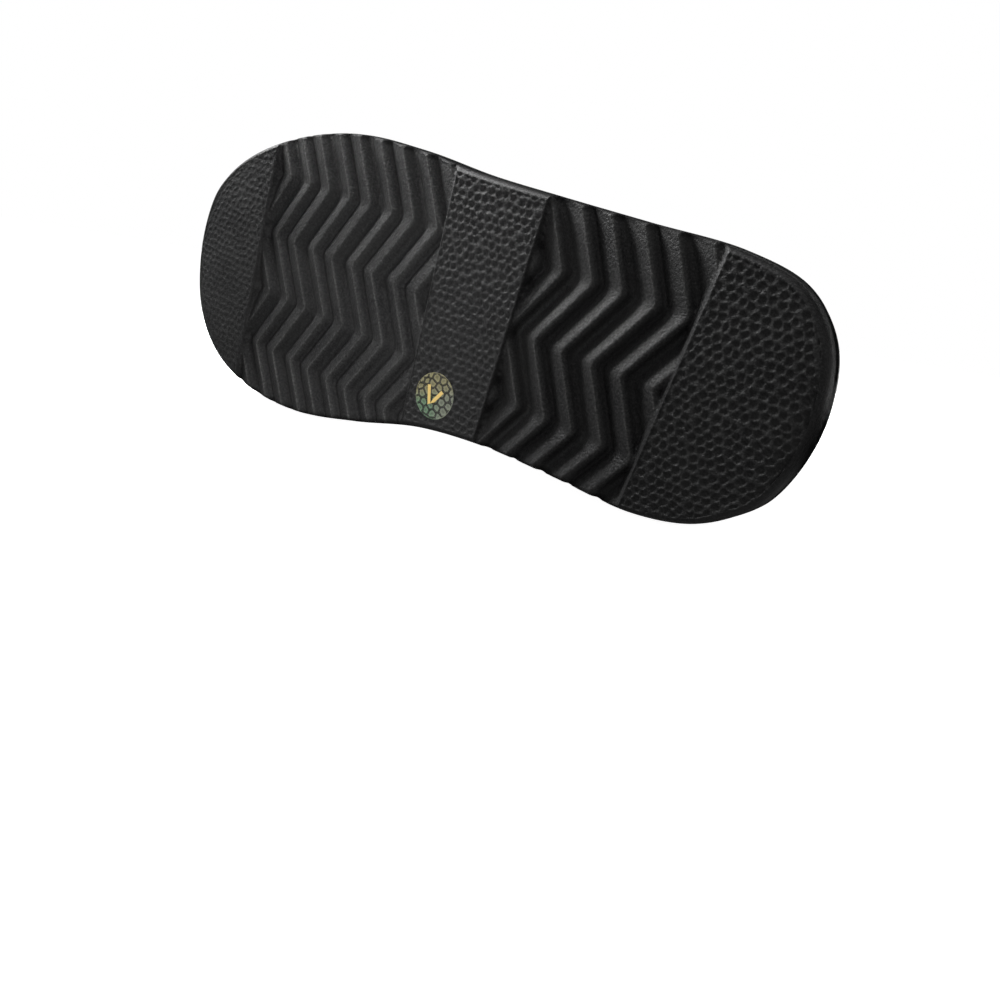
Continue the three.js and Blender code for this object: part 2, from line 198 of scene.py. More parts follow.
def eased(count: int) -> Array:
    """Shares from 0 to 1 that crowd towards both ends along a cosine."""
    return (1 - np.cos(np.linspace(0, np.pi, count))) / 2


def unit(vectors: Array) -> Array:
    """Vectors at length one."""
    return vectors / np.maximum(np.linalg.norm(vectors, axis=-1, keepdims=True), TINY**2)


def room_inside(x: Array, y: Array, sides: Sequence[Array], ends: Sequence[float]) -> Array:
    """Least distance to the two sides and the two ends of a plan."""
    return np.minimum.reduce([y - sides[0], sides[1] - y, x - ends[0], ends[1] - x])


def table_curve(at: Array, keys: Sequence[float], values: Sequence[float]) -> Array:
    """Cubic through a table, which leaves and reaches each row with the slope of the rows beside it.

    Args:
        at: Where to read the table.
        keys: Rising key column.
        values: Value column.

    Returns:
        The value at each place, held at the ends.
    """
    k = np.asarray(keys, float)
    v = np.asarray(values, float)
    ahead = np.append(np.arange(1, len(k)), len(k) - 1)
    behind = np.insert(np.arange(len(k) - 1), 0, 0)
    slope = (v[ahead] - v[behind]) / (k[ahead] - k[behind])
    at = np.clip(at, k[0], k[-1])
    i = np.clip(np.searchsorted(k, at, side="right") - 1, 0, len(k) - 2)
    span = k[i + 1] - k[i]
    t = (at - k[i]) / span
    ease = span * (t * (1 - t) ** 2 * slope[i] - t * t * (1 - t) * slope[i + 1])
    h = t * t * (3 - 2 * t)
    return v[i] * (1 - h) + v[i + 1] * h + ease


def resample(paths: Array, count: int) -> Array:
    """Spaces points evenly along each of many paths.

    Args:
        paths: Paths by points by three.
        count: Points wanted on each path.

    Returns:
        Paths by count by three.
    """
    gaps = np.linalg.norm(np.diff(paths, axis=1), axis=2)
    run = np.concatenate([np.zeros((len(paths), 1)), np.cumsum(gaps, axis=1)], axis=1)
    want = run[:, -1:] * np.linspace(0, 1, count)[None, :]
    i = np.clip((run[:, :, None] <= want[:, None, :]).sum(axis=1) - 1, 0, paths.shape[1] - 2)
    low = np.take_along_axis(run, i, axis=1)
    high = np.take_along_axis(run, i + 1, axis=1)
    t = ((want - low) / np.maximum(high - low, TINY))[..., None]
    a = np.take_along_axis(paths, i[..., None], axis=1)
    b = np.take_along_axis(paths, i[..., None] + 1, axis=1)
    return a * (1 - t) + b * t


def quads(rows: int, cols: int, closed: bool = False, looped: bool = False, first: int = 0) -> Array:
    """Faces of a grid whose points are stored row by row.

    Args:
        rows: Number of rows.
        cols: Points in a row.
        closed: Whether each row runs back to its first point.
        looped: Whether the last row joins the first.
        first: Index of the grid's first point.

    Returns:
        Corner indices, one row of four for each face.
    """
    across = np.arange(cols if closed else cols - 1)
    row = np.arange(rows if looped else rows - 1)[:, None] * cols
    a = (row + across).ravel()
    b = (row + (across + 1) % cols).ravel()
    return np.stack([a, b, b + cols, a + cols], axis=1) % (rows * cols) + first


def bars(points: Array, sides: int, radius: Array) -> tuple[Array, Array]:
    """Many short round bars: a circle carried along each bar's own line.

    Args:
        points: Lines of the bars, as bars by stations by three.
        sides: Corners of the circle.
        radius: Radius at each station; none at the ends closes the bars.

    Returns:
        Points and faces of all the bars together.
    """
    steep = 0.9
    count, stations, _ = points.shape
    along = unit(np.gradient(points, axis=1))
    hint = np.where(np.abs(along[..., 2:]) > steep, [1.0, 0.0, 0.0], [0.0, 0.0, 1.0])
    side = unit(np.cross(along, hint))
    over = np.cross(along, side)
    turn = np.linspace(0, 2 * np.pi, sides, endpoint=False)[:, None]
    circle = np.cos(turn) * side[:, :, None, :] + np.sin(turn) * over[:, :, None, :]
    tube = points[:, :, None, :] + circle * radius[None, :, None, None]
    one = quads(stations, sides, closed=True)[:, ::-1]
    faces = np.arange(count)[:, None, None] * stations * sides + one
    return tube.reshape(-1, 3), faces.reshape(-1, 4)


@dataclass(frozen=True)
class BootFrame:
    """The standing boot's frame, set in the row frame by two flat spots of the tread."""

    heel_spot: Point = (24.0, 14.0, 0.0)
    strip_spot: Point = (118.5, 10.0, 0.0)

    def axes(self) -> tuple[Array, Array]:
        """Finds the standing axes: up is against the mounts' normal, and the chord between them is known.

        Returns:
            The three axes as rows, and the row position of the heel spot in metres.
        """
        mounts = {m["name"]: m for m in frame["record"]["mounts"]}
        heel = np.array(mounts["heel_pad"]["pos_m"], float)
        strip = np.array(mounts["mid_strip"]["pos_m"], float)
        up = -unit(np.array(mounts["heel_pad"]["axis"], float))
        chord = strip - heel
        chord = unit(chord - up * (chord @ up))
        run = np.subtract(self.strip_spot, self.heel_spot)
        turn = math.atan2(run[1], run[0])
        toe = math.cos(turn) * chord - math.sin(turn) * np.cross(up, chord)
        return np.stack([toe, np.cross(up, toe), up]), heel

    def place(self, points: Sequence[float] | Array) -> Array:
        """Carries standing millimetres to row metres."""
        axes, heel = self.axes()
        return heel + (np.asarray(points, float) - self.heel_spot) * MM @ axes

    def turn(self, direction: Point) -> Array:
        """Standing direction in the row frame."""
        return np.asarray(direction, float) @ self.axes()[0]

    def back(self, piece: Object) -> Array:
        """Carries the vertices of a piece back to standing millimetres.

        Args:
            piece: The piece.

        Returns:
            Its standing points.
        """
        points = np.zeros(len(piece.data.vertices) * 3)
        piece.data.vertices.foreach_get("co", points)
        axes, heel = self.axes()
        return (points.reshape(-1, 3) - heel) @ axes.T / MM + self.heel_spot


STANDING = BootFrame()


def add_piece(name: str, points: Array, faces: Array, material: Material) -> Object:
    """Makes a smooth mesh piece from standing points, with doubles merged, that rides on the boot.

    Args:
        name: Piece name.
        points: Standing points in millimetres.
        faces: Corner indices.
        material: Finish of the piece.

    Returns:
        The new object, at the origin.
    """
    mesh = bpy.data.meshes.new(name)
    mesh.from_pydata(STANDING.place(points.reshape(-1, 3)).tolist(), [], faces.tolist())
    joined = bmesh.new()
    joined.from_mesh(mesh)
    bmesh.ops.remove_doubles(joined, verts=joined.verts, dist=MERGE)
    joined.to_mesh(mesh)
    joined.free()
    mesh.polygons.foreach_set("use_smooth", np.ones(len(mesh.polygons), bool))
    mesh.materials.append(material)
    mesh.update()
    piece = bpy.data.objects.new(name, mesh)
    bpy.context.scene.collection.objects.link(piece)
    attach(piece, BODY)
    return piece


def add_layer(piece: Object, layer: Layer, values: Array) -> None:
    """Gives each point of a piece a value or a colour for its finish.

    Args:
        piece: The piece.
        layer: Name of what the points carry.
        values: One number for each point, or three for a colour.
    """
    kind, field = "FLOAT", "value"
    if values.ndim > 1:
        kind, field = "FLOAT_COLOR", "color"
        values = np.column_stack([values, np.ones(len(values))])
    made = piece.data.attributes.new(layer.value, kind, "POINT")
    made.data.foreach_set(field, values.astype(np.float32).ravel())


@dataclass(frozen=True)
class CellPattern:
    """Irregular round cells: a six-sided lattice of seeds, each moved and weighted at random."""

    pitch: float
    jitter: float
    spread: float
    seed: int
    span: float = 340.0

    def cells(self, x: Array, y: Array) -> tuple[Array, Array]:
        """Finds the nearest seed and the next one, and how far the line between their cells is.

        Args:
            x: First coordinate in millimetres.
            y: Second coordinate in millimetres.

        Returns:
            Distance to the border and distance to the seed in millimetres.
        """
        beside = (-1, 0, 1)
        rise = self.pitch * math.sqrt(3) / 2
        count = int(self.span / rise)
        rng = np.random.default_rng(self.seed)
        shift = rng.uniform(-self.jitter, self.jitter, (count, count, 2)) * self.pitch
        weight = rng.uniform(-self.spread, self.spread, (count, count)) * self.pitch**2
        row = np.rint(y / rise).astype(int)
        near = []
        for dj in beside:
            j = row + dj
            offset = (j % 2) / 2
            col = np.rint(x / self.pitch - offset).astype(int)
            for di in beside:
                i = col + di
                cx = (i + offset) * self.pitch + shift[j % count, i % count, 0]
                cy = j * rise + shift[j % count, i % count, 1]
                far = (x - cx) ** 2 + (y - cy) ** 2 - weight[j % count, i % count]
                near.append(np.stack([far, cx, cy], axis=-1))
        seeds = np.stack(near, axis=-2)
        order = np.argsort(seeds[..., 0], axis=-1)[..., :2, None]
        first, second = np.moveaxis(np.take_along_axis(seeds, order, axis=-2), -2, 0)
        apart = np.hypot(second[..., 1] - first[..., 1], second[..., 2] - first[..., 2])
        border = (second[..., 0] - first[..., 0]) / (2 * np.maximum(apart, TINY))
        return border, np.hypot(x - first[..., 1], y - first[..., 2])


@dataclass(frozen=True)
class RibField:
    """A field of zigzag ribs between two pads, with a wide and a narrow groove in each pitch."""

    rear: PadEdge
    front: PadEdge
    wide_at: float
    narrow_at: float
    pitch: float
    wide: tuple[GrooveRow, ...]
    narrow: tuple[GrooveRow, ...]

    def corners(self) -> tuple[Array, Array]:
        """Corners of one pitch from the wide groove's line on: down into each groove and up to a crest.

        Returns:
            Places along the foot and depths below the pads.
        """
        middle = (self.narrow_at - self.wide_at) % self.pitch
        pairs = []
        for centre, rows in ((0.0, self.wide), (middle, self.narrow), (self.pitch, self.wide)):
            pairs += [(centre - r.rear, r.depth) for r in rows]
            pairs += [(centre + r.front, r.depth) for r in reversed(rows)]
        at, depth = np.array(pairs).T
        return at, depth

    def past_rear(self, x: Array, y: Array) -> Array:
        """Distance past the heelward pad's edge."""
        return x - self.rear.x - self.rear.slant * y

    def before_front(self, x: Array, y: Array) -> Array:
        """Distance left to the toeward pad's edge."""
        return self.front.x + self.front.slant * y - x


@dataclass(frozen=True)
class SoleForm:
    """Sizes and surfaces of the cup sole."""

    heel_tip: Span = (1.0, 13.0)
    toe_tip: Span = (269.0, -4.5)
    rows: tuple[SoleRow, ...] = (
        SoleRow(5, 34.7, -6.3),
        SoleRow(12, 45.5, -15),
        SoleRow(22, 52.7, -22.5),
        SoleRow(40, 56.3, -27.8),
        SoleRow(70, 56.1, -28.9),
        SoleRow(100, 55.9, -30.5),
        SoleRow(130, 56, -35.7),
        SoleRow(160, 57.6, -45.8),
        SoleRow(190, 56.6, -54),
        SoleRow(218, 49.6, -55),
        SoleRow(240, 39.4, -49.5),
        SoleRow(255, 28.4, -39.3),
        SoleRow(264.5, 16.4, -26.2),
    )
    samples: int = 1800
    heel_rim: float = 25.0
    fore_rim: float = 20.0
    rim_slope: Span = (40.0, 150.0)
    cup_depth: float = 7.0
    rim_inner_inset: float = 5.5
    lip_inset: float = 4.6
    toe_spring: float = 3.0
    spring_start: float = 236.0
    heel_bevel: float = 1.2
    heel_bevel_start: float = 12.0
    side: tuple[SideRow, ...] = (
        SideRow(0, 3),
        SideRow(0.02, 2.1),
        SideRow(0.06, 1.4),
        SideRow(0.14, 0.8),
        SideRow(0.28, 0.25),
        SideRow(0.45, 0),
        SideRow(0.8, 0.5),
        SideRow(0.95, 1.4),
        SideRow(1, 2.6),
    )
    sloped_edge: tuple[EdgeRow, ...] = (
        EdgeRow(-0.2, 0),
        EdgeRow(0, 0.1),
        EdgeRow(0.35, 0.6),
        EdgeRow(2.4, 3.0),
        EdgeRow(3.2, 6.0),
    )
    steep_edge: tuple[EdgeRow, ...] = (
        EdgeRow(-0.5, 0),
        EdgeRow(-0.1, 0.12),
        EdgeRow(0.3, 0.8),
        EdgeRow(1.2, 6.0),
    )
    zigzag_first: float = 34.0
    zigzag_row: float = 22.6
    zigzag_swing: float = 13.4
    zigzag_round: float = 1.3
    heel_ribs: RibField = RibField(
        rear=PadEdge(44.1, -0.02),
        front=PadEdge(102.3, 0.007),
        wide_at=88.4,
        narrow_at=76.6,
        pitch=21.8,
        wide=(GrooveRow(1, 9, 1.8), GrooveRow(2.3, 5.7, 0.2), GrooveRow(4.7, 2, 0)),
        narrow=(GrooveRow(1, 7.8, 2.4), GrooveRow(2.3, 3.9, 0.2), GrooveRow(4.7, 0.4, 0)),
    )
    fore_ribs: RibField = RibField(
        rear=PadEdge(136.4, 0.057),
        front=PadEdge(226.9, -0.009),
        wide_at=150.2,
        narrow_at=160.3,
        pitch=21.43,
        wide=(GrooveRow(1, 8.1, 2.5), GrooveRow(1.9, 4.6, 0.2), GrooveRow(3, 3, 0)),
        narrow=(GrooveRow(1, 7.2, 2.8), GrooveRow(1.9, 2.6, 0.2), GrooveRow(3, 1.2, 0)),
    )
    rib_round: float = 0.3
    crest_in: float = 0.1
    crest_width: float = 0.42
    # Painted highlight along every rib crest, partly worn: pale colour where light catches the sharp edge.
    crest_wear_and_highlight: float = 0.5
    top_start: Span = (0.0, 0.4)
    top_end: Span = (3.1, 4.3)
    wear_and_highlight_margin: Span = (0.5, 2.5)
    tread_mark_depth: float = 5.0
    # Scuffs: partly worn, partly painted highlight on rib tops and crests where the light catches them.
    scuffs_and_highlights: tuple[ScuffAndHighlight, ...] = (
        ScuffAndHighlight(70, 23, 34, 11, 0.6, 0.3),
        ScuffAndHighlight(219, 43, 14, 10, 0.5, 0.5),
        ScuffAndHighlight(204, -44, 32, 14, 0, 0.5),
    )
    dents: CellPattern = CellPattern(pitch=3.05, jitter=0.2, spread=0.1, seed=7)
    dimple_depth: float = 0.36
    dimple_land: float = 0.16
    dimple_radius: float = 1.35
    dimple_slope: float = 0.5
    toe_fade: float = 0.5
    dimple_margin: Span = (0.2, 1.0)
    dimple_rim: Span = (3.0, 3.5)
    # Painted shade: darker towards the widest outline and on the medial stretch of the sloped pad edges.
    rim_shade_fade: Span = (0.8, 3.4)
    edge_shade_fade: Span = (0.3, 1.1)
    edge_shade_span: Span = (16.0, 40.0)
    edge_shade_share: float = 0.45

    def fields(self) -> tuple[RibField, RibField]:
        """The rib fields of heel and forefoot."""
        return self.heel_ribs, self.fore_ribs

    def rim(self, x: Array) -> Array:
        """Height of the rim, easing from heel to forefoot."""
        return self.heel_rim + (self.fore_rim - self.heel_rim) * smoothstep(x, *self.rim_slope)

    def lift(self, x: Array) -> Array:
        """Toe spring and heel bevel, both squares of the way past their start.

        Args:
            x: Along the foot.

        Returns:
            Height above the plane of the pads.
        """
        toe = np.maximum(0, (x - self.spring_start) / (self.toe_tip[0] - self.spring_start))
        heel = np.maximum(0, (self.heel_bevel_start - x) / self.heel_bevel_start)
        return self.toe_spring * toe**2 + self.heel_bevel * heel**2

    @cache
    def outline(self) -> tuple[Array, Array]:
        """Closed curve through the stations whose knots lie the root of their distance apart.

        Returns:
            Points anticlockwise from the heel tip, and outward normals.
        """
        medial = [(r.x, r.medial) for r in self.rows]
        lateral = [(r.x, r.lateral) for r in reversed(self.rows)]
        knots = np.array([self.heel_tip, *medial, self.toe_tip, *lateral], float)
        at = np.arange(self.samples) * len(knots) / self.samples
        i = at.astype(int)
        w = (at - i)[:, None]
        p0, p1, p2, p3 = (knots[(i + k) % len(knots)] for k in (-1, 0, 1, 2))
        steps = (p1 - p0, p2 - p1, p3 - p2)
        d0, d1, d2 = (np.sqrt(np.linalg.norm(s, axis=1, keepdims=True)) for s in steps)
        t1 = d1 * ((p1 - p0) / d0 - (p2 - p0) / (d0 + d1) + (p2 - p1) / d1)
        t2 = d1 * ((p2 - p1) / d1 - (p3 - p1) / (d1 + d2) + (p3 - p2) / d2)
        curve = p1 + w * t1 + w**2 * (3 * (p2 - p1) - 2 * t1 - t2) + w**3 * (2 * (p1 - p2) + t1 + t2)
        along = unit(np.roll(curve, -1, axis=0) - np.roll(curve, 1, axis=0))
        return curve, np.stack([along[:, 1], -along[:, 0]], axis=1)

    @cache
    def edges(self, inset: float) -> tuple[Array, Array]:
        """Splits an inset outline at its two ends.

        Args:
            inset: Distance inside the widest outline.

        Returns:
            Medial and lateral edges from heel to toe, as columns x, y and outline index.
        """
        curve, normal = self.outline()
        points = curve - normal * inset
        heel = int(np.argmin(points[:, 0]))
        toe = int(np.argmax(points[:, 0]))
        count = len(points)
        there = np.arange(heel, heel + (toe - heel) % count + 1)
        back = np.arange(there[-1], heel + count + 1)[::-1]
        pair = []
        for index in (there, back):
            x = np.maximum.accumulate(points[index % count, 0] + TINY * np.arange(len(index)))
            pair.append(np.stack([x, points[index % count, 1], index], axis=1))
        return pair[0], pair[1]

    def sides(self, x: Array, inset: float) -> tuple[Array, Array]:
        """Medial and lateral edge of an inset outline at each station."""
        medial, lateral = self.edges(inset)
        return np.interp(x, medial[:, 0], medial[:, 1]), np.interp(x, lateral[:, 0], lateral[:, 1])

    def ends(self, inset: float) -> Span:
        """Stations of the heel end and the toe end of an inset outline."""
        medial, _ = self.edges(inset)
        return medial[0, 0], medial[-1, 0]

    def wall_point(self, index: Array, inset: Array) -> Array:
        """Points inside the widest outline.

        Args:
            index: Place along the outline, in samples.
            inset: Distance inside it.

        Returns:
            Plan points.
        """
        curve, normal = self.outline()
        count = len(curve)
        whole = np.floor(index).astype(int)
        share = (index - whole)[..., None]
        at = curve[whole % count] * (1 - share) + curve[(whole + 1) % count] * share
        out = unit(normal[whole % count] * (1 - share) + normal[(whole + 1) % count] * share)
        return at - out * inset[..., None]

    def zigzag(self, y: Array) -> Array:
        """Triangle wave across the sole, averaged over a short way so that its corners are round.

        Args:
            y: Across the foot.

        Returns:
            How far the ribs run ahead there.
        """
        taps = np.linspace(-self.zigzag_round, self.zigzag_round, ROUNDING_TAPS)
        phase = np.abs((self.zigzag_first - y[..., None] - taps) / self.zigzag_row) % 2
        return self.zigzag_swing * np.where(phase <= 1, phase, 2 - phase).mean(axis=-1)

    def rib_depth(self, s: Array, ribs: RibField) -> Array:
        """Depth across the ribs, which repeats with the pitch and is averaged over a short way.

        Args:
            s: Distance along the foot with the zigzag taken off.
            ribs: The field.

        Returns:
            Depth below the pads.
        """
        at, depth = ribs.corners()
        taps = np.linspace(-self.rib_round, self.rib_round, ROUNDING_TAPS)
        offset = (s[..., None] + taps - ribs.wide_at) % ribs.pitch
        return np.interp(offset, at, depth).mean(axis=-1)

    def depth(self, x: Array, y: Array) -> Array:
        """Depth of the tread: in each field the ribs, limited by the pad edges on either side.

        Args:
            x: Along the foot.
            y: Across it.

        Returns:
            Depth below the pads.
        """
        total = np.zeros_like(x)
        for ribs in self.fields():
            rear = np.interp(ribs.past_rear(x, y), *zip(*self.sloped_edge))
            front = np.interp(ribs.before_front(x, y), *zip(*self.steep_edge))
            here = np.minimum(self.rib_depth(x - self.zigzag(y), ribs), np.minimum(rear, front))
            total = np.maximum(total, here)
        return total

    def dimples(self, x: Array, y: Array, inset: Array) -> Array:
        """Depth of the dimples: full inside each cell, none on the ridges between and near pad edges.

        Args:
            x: Along the foot.
            y: Across it.
            inset: Distance inside the widest outline.

        Returns:
            Extra depth.
        """
        heel, fore = self.fields()
        strip = np.minimum(-heel.before_front(x, y), -fore.past_rear(x, y))
        inside = np.maximum(np.maximum(-heel.past_rear(x, y), -fore.before_front(x, y)), strip)
        room = smoothstep(inside, *self.dimple_margin) * smoothstep(inset, *self.dimple_rim)
        room *= 1 - self.toe_fade * smoothstep(x, fore.rear.x, fore.front.x)
        border, middle = self.dents.cells(x, y)
        dent = np.minimum(border - self.dimple_land, self.dimple_radius - middle)
        return self.dimple_depth * room * smoothstep(dent, 0.0, self.dimple_slope)

    def wear_and_highlight(self, p: Array) -> Array:
        """Pale colour on the ribs: a bell over each crest and their tops in scuffed places, partly worn
        and partly painted highlight where light catches the sharp edges and tops.

        Args:
            p: Standing points.

        Returns:
            Share of the pale worn and painted-highlight colour at each point.
        """
        x, y, z = p.T
        total = np.zeros(len(p))
        patches = [bell(x - c.x, c.along) * bell(y - c.y, c.across) for c in self.scuffs_and_highlights]
        # Every crest carries a painted highlight; scuffs add more on crests and tops.
        crests = self.crest_wear_and_highlight + sum(c.crests * patch for c, patch in zip(self.scuffs_and_highlights, patches))
        tops = sum(c.tops * patch for c, patch in zip(self.scuffs_and_highlights, patches))
        s = x - self.zigzag(y)
        for ribs in self.fields():
            half = ribs.pitch / 2
            room = np.minimum(ribs.past_rear(x, y), ribs.before_front(x, y))
            for at, rows in ((ribs.wide_at, ribs.wide), (ribs.narrow_at, ribs.narrow)):
                off = (s - at - rows[0].front - self.crest_in + half) % ribs.pitch - half
                top = tops * smoothstep(off, *self.top_start) * (1 - smoothstep(off, *self.top_end))
                rubbed_and_highlight = np.maximum(crests * bell(off, self.crest_width), top)
                total = np.maximum(total, rubbed_and_highlight * smoothstep(room, *self.wear_and_highlight_margin))
        return total * (z < self.tread_mark_depth)

    def rim_shade_share(self, p: Array) -> Array:
        """Share of painted shade: whole on the widest outline, fading inside it, and part on the sloped
        pad edges, strongest on their medial stretch.

        Args:
            p: Standing points.

        Returns:
            Share at each point.
        """
        x, y, z = p.T
        # Painted shade, whole on the outline and fading inside it.
        inside = room_inside(x, y, self.sides(x, 0.0), self.ends(0.0))
        painted_shade = 1 - smoothstep(inside, *self.rim_shade_fade)
        medial = 1 - smoothstep(y, *self.edge_shade_span)
        # Painted shade on the sloped pad edges, strongest on the medial side.
        for ribs in self.fields():
            edge = 1 - smoothstep(np.abs(ribs.past_rear(x, y)), *self.edge_shade_fade)
            painted_shade = np.maximum(painted_shade, self.edge_shade_share * edge * medial * (z < self.tread_mark_depth))
        return painted_shade


SOLE = SoleForm()


class Graph:
    """Adds nodes to a node tree and links them."""

    MIX_INPUTS = (0, 6, 7)
    MIX_COLOUR = 2

    def __init__(self, tree: NodeTree) -> None:
        """Keeps the tree."""
        self.tree = tree

    def feed(self, socket: NodeSocket, value: object) -> None:
        """Links an output to an input, or sets the input's own value.

        Args:
            socket: The input.
            value: An output socket, a number or a colour.
        """
        if isinstance(value, NodeSocket):
            self.tree.links.new(value, socket)
        else:
            socket.default_value = (*value, 1.0) if isinstance(value, tuple) else value

    def fill(self, node: Node, **inputs: object) -> Node:
        """Feeds inputs of a node by name.

        Args:
            node: The node.
            **inputs: Values or output sockets, with _ for a space in the input's name.

        Returns:
            The node.
        """
        for name, value in inputs.items():
            self.feed(node.inputs[name.replace("_", " ")], value)
        return node

    def add(self, kind: str, settings: dict[str, object] | None = None, **inputs: object) -> Node:
        """Adds a node.

        Args:
            kind: Node type.
            settings: Properties of the node.
            **inputs: Values or output sockets for its inputs.

        Returns:
            The node.
        """
        node = self.tree.nodes.new(kind)
        for name, value in (settings or {}).items():
            setattr(node, name, value)
        return self.fill(node, **inputs)

    def place(self) -> NodeSocket:
        """Object coordinates."""
        return self.add("ShaderNodeTexCoord").outputs["Object"]

    def layer(self, layer: Layer, output: str = "Fac") -> NodeSocket:
        """Value or colour that the piece's points carry."""
        return self.add("ShaderNodeAttribute", {"attribute_name": layer.value}).outputs[output]

    def noise(self, place: NodeSocket, scale: object, detail: float, roughness: float = 0.5) -> NodeSocket:
        """Cloudy noise from 0 to 1."""
        settings = {"Vector": place, "Scale": scale, "Detail": detail, "Roughness": roughness}
        return self.add("ShaderNodeTexNoise", **settings).outputs[0]

    def times(self, first: NodeSocket, second: object) -> NodeSocket:
        """Product of two values.

        Args:
            first: First value.
            second: Second value, a number or a socket.

        Returns:
            The output socket.
        """
        node = self.add("ShaderNodeMath", {"operation": "MULTIPLY"})
        for socket, value in zip(node.inputs, (first, second)):
            self.feed(socket, value)
        return node.outputs[0]

    def mix(self, factor: NodeSocket, first: object, second: object) -> NodeSocket:
        """Colour between two others.

        Args:
            factor: Share of the second.
            first: First colour or socket.
            second: Second colour or socket.

        Returns:
            The output socket.
        """
        node = self.add("ShaderNodeMix", {"data_type": "RGBA"})
        for index, value in zip(self.MIX_INPUTS, (factor, first, second)):
            self.feed(node.inputs[index], value)
        return node.outputs[self.MIX_COLOUR]

    def ramp(self, value: NodeSocket, span: Span, to: Span = (0.0, 1.0)) -> NodeSocket:
        """Value mapped from one range to another and held at its ends.

        Args:
            value: Input socket.
            span: Range of the input.
            to: Results at the range's ends.

        Returns:
            The output socket.
        """
        limits = {"From_Min": span[0], "From_Max": span[1], "To_Min": to[0], "To_Max": to[1]}
        return self.add("ShaderNodeMapRange", Value=value, **limits).outputs[0]


def start_material(name: str) -> tuple[Material, Graph, Node]:
    """Starts a node material.

    Args:
        name: Name of the finish.

    Returns:
        The material, its graph and its shader.
    """
    made = bpy.data.materials.new(name)
    made.use_nodes = True
    return made, Graph(made.node_tree), made.node_tree.nodes["Principled BSDF"]


@dataclass(frozen=True)
class SurfaceGrain:
    """Shader group for the fine grain of foam, nap and pile, in cells per metre."""

    name: str = "surface_grain"
    fine_detail: float = 3.0
    fine_roughness: float = 0.65
    slow_detail: float = 4.0
    slow_roughness: float = 0.6
    tone_span: Span = (0.42, 0.72)
    patch_span: Span = (0.35, 0.68)

    def group(self) -> NodeTree:
        """Builds the group once.

        Returns:
            The group, with a height, a tone that follows it and a slow patchiness.
        """
        found = bpy.data.node_groups.get(self.name)
        if found:
            return found
        tree = bpy.data.node_groups.new(self.name, "ShaderNodeTree")
        tree.interface.new_socket("Vector", in_out="INPUT", socket_type="NodeSocketVector")
        for name in ("Grains", "Patches"):
            tree.interface.new_socket(name, in_out="INPUT", socket_type="NodeSocketFloat")
        for name in ("Height", "Tone", "Patch"):
            tree.interface.new_socket(name, in_out="OUTPUT", socket_type="NodeSocketFloat")
        graph = Graph(tree)
        given = graph.add("NodeGroupInput").outputs
        fine = graph.noise(given["Vector"], given["Grains"], self.fine_detail, self.fine_roughness)
        slow = graph.noise(given["Vector"], given["Patches"], self.slow_detail, self.slow_roughness)
        tone = graph.ramp(fine, self.tone_span)
        patch = graph.ramp(slow, self.patch_span)
        graph.add("NodeGroupOutput", Height=fine, Tone=tone, Patch=patch)
        return tree


@dataclass(frozen=True)
class GrainFinish:
    """A matt dark material with a fine grain; one with a pale rubbing colour also shows that colour,
    partly worn and partly painted highlight, and a darker rim of painted shade without gloss.
    """

    name: str
    dark: Colour
    pale: Colour
    worn: Colour
    grains: float
    patches: float
    relief: float
    roughness: Span
    specular: float
    sheen: float
    # Pale colour for worn places and painted highlights.
    rubbed_and_highlight: Colour | None = None
    sheen_roughness: float = 0.5
    patch_share: float = 0.6
    rubbed_and_highlight_span: Span = (0.0, 0.8)
    rubbed_and_highlight_share: Span = (0.35, 1.0)
    # Painted shade colour and its share on the sole's rim.
    rim_shade_colour: Colour = (0.002, 0.002, 0.002)
    rim_shade_share: float = 0.35

    def add_rubbing_highlight_and_shade(self, graph: Graph, shader: Node, tone: NodeSocket, colour: NodeSocket) -> NodeSocket:
        """Adds the pale rubbing colour, partly worn and partly painted highlight, strongest on the high
        grains, and a rim of painted shade that is darker and loses its gloss.

        Args:
            graph: Graph of the material.
            shader: Its shader.
            tone: The grain's tone.
            colour: Colour so far.

        Returns:
            The new colour.
        """
        # Worn colour with painted highlights on crests and scuffed tops, strongest on the high grains.
        share = graph.times(graph.layer(Layer.WEAR_AND_HIGHLIGHT), graph.ramp(tone, self.rubbed_and_highlight_span, self.rubbed_and_highlight_share))
        colour = graph.mix(share, colour, self.rubbed_and_highlight)
        # Painted shade: the rim turns darker and its gloss fades out.
        rim = graph.layer(Layer.RIM_SHADE)
        graph.fill(shader, Specular_IOR_Level=graph.ramp(rim, (0.0, 1.0), (self.specular, 0.0)))
        return graph.mix(graph.times(rim, self.rim_shade_share), colour, self.rim_shade_colour)

    def material(self) -> Material:
        """Builds the finish once: tone follows the grain, colour and roughness a slow patchiness.

        Returns:
            The material.
        """
        found = bpy.data.materials.get(self.name)
        if found:
            return found
        made, graph, shader = start_material(self.name)
        group = {"node_tree": SurfaceGrain().group()}
        spacing = {"Grains": self.grains, "Patches": self.patches}
        grain = graph.add("ShaderNodeGroup", group, Vector=graph.place(), **spacing).outputs
        colour = graph.mix(grain["Tone"], self.dark, self.pale)
        colour = graph.mix(graph.times(grain["Patch"], self.patch_share), colour, self.worn)
        graph.fill(shader, Specular_IOR_Level=self.specular)
        if self.rubbed_and_highlight:
            colour = self.add_rubbing_highlight_and_shade(graph, shader, grain["Tone"], colour)
        bump = graph.add("ShaderNodeBump", Height=grain["Height"], Distance=self.relief, Strength=1.0)
        graph.fill(
            shader,
            Base_Color=colour,
            Roughness=graph.ramp(grain["Patch"], (0.0, 1.0), self.roughness),
            Normal=bump.outputs[0],
            Sheen_Weight=self.sheen,
            Sheen_Roughness=self.sheen_roughness,
        )
        return made


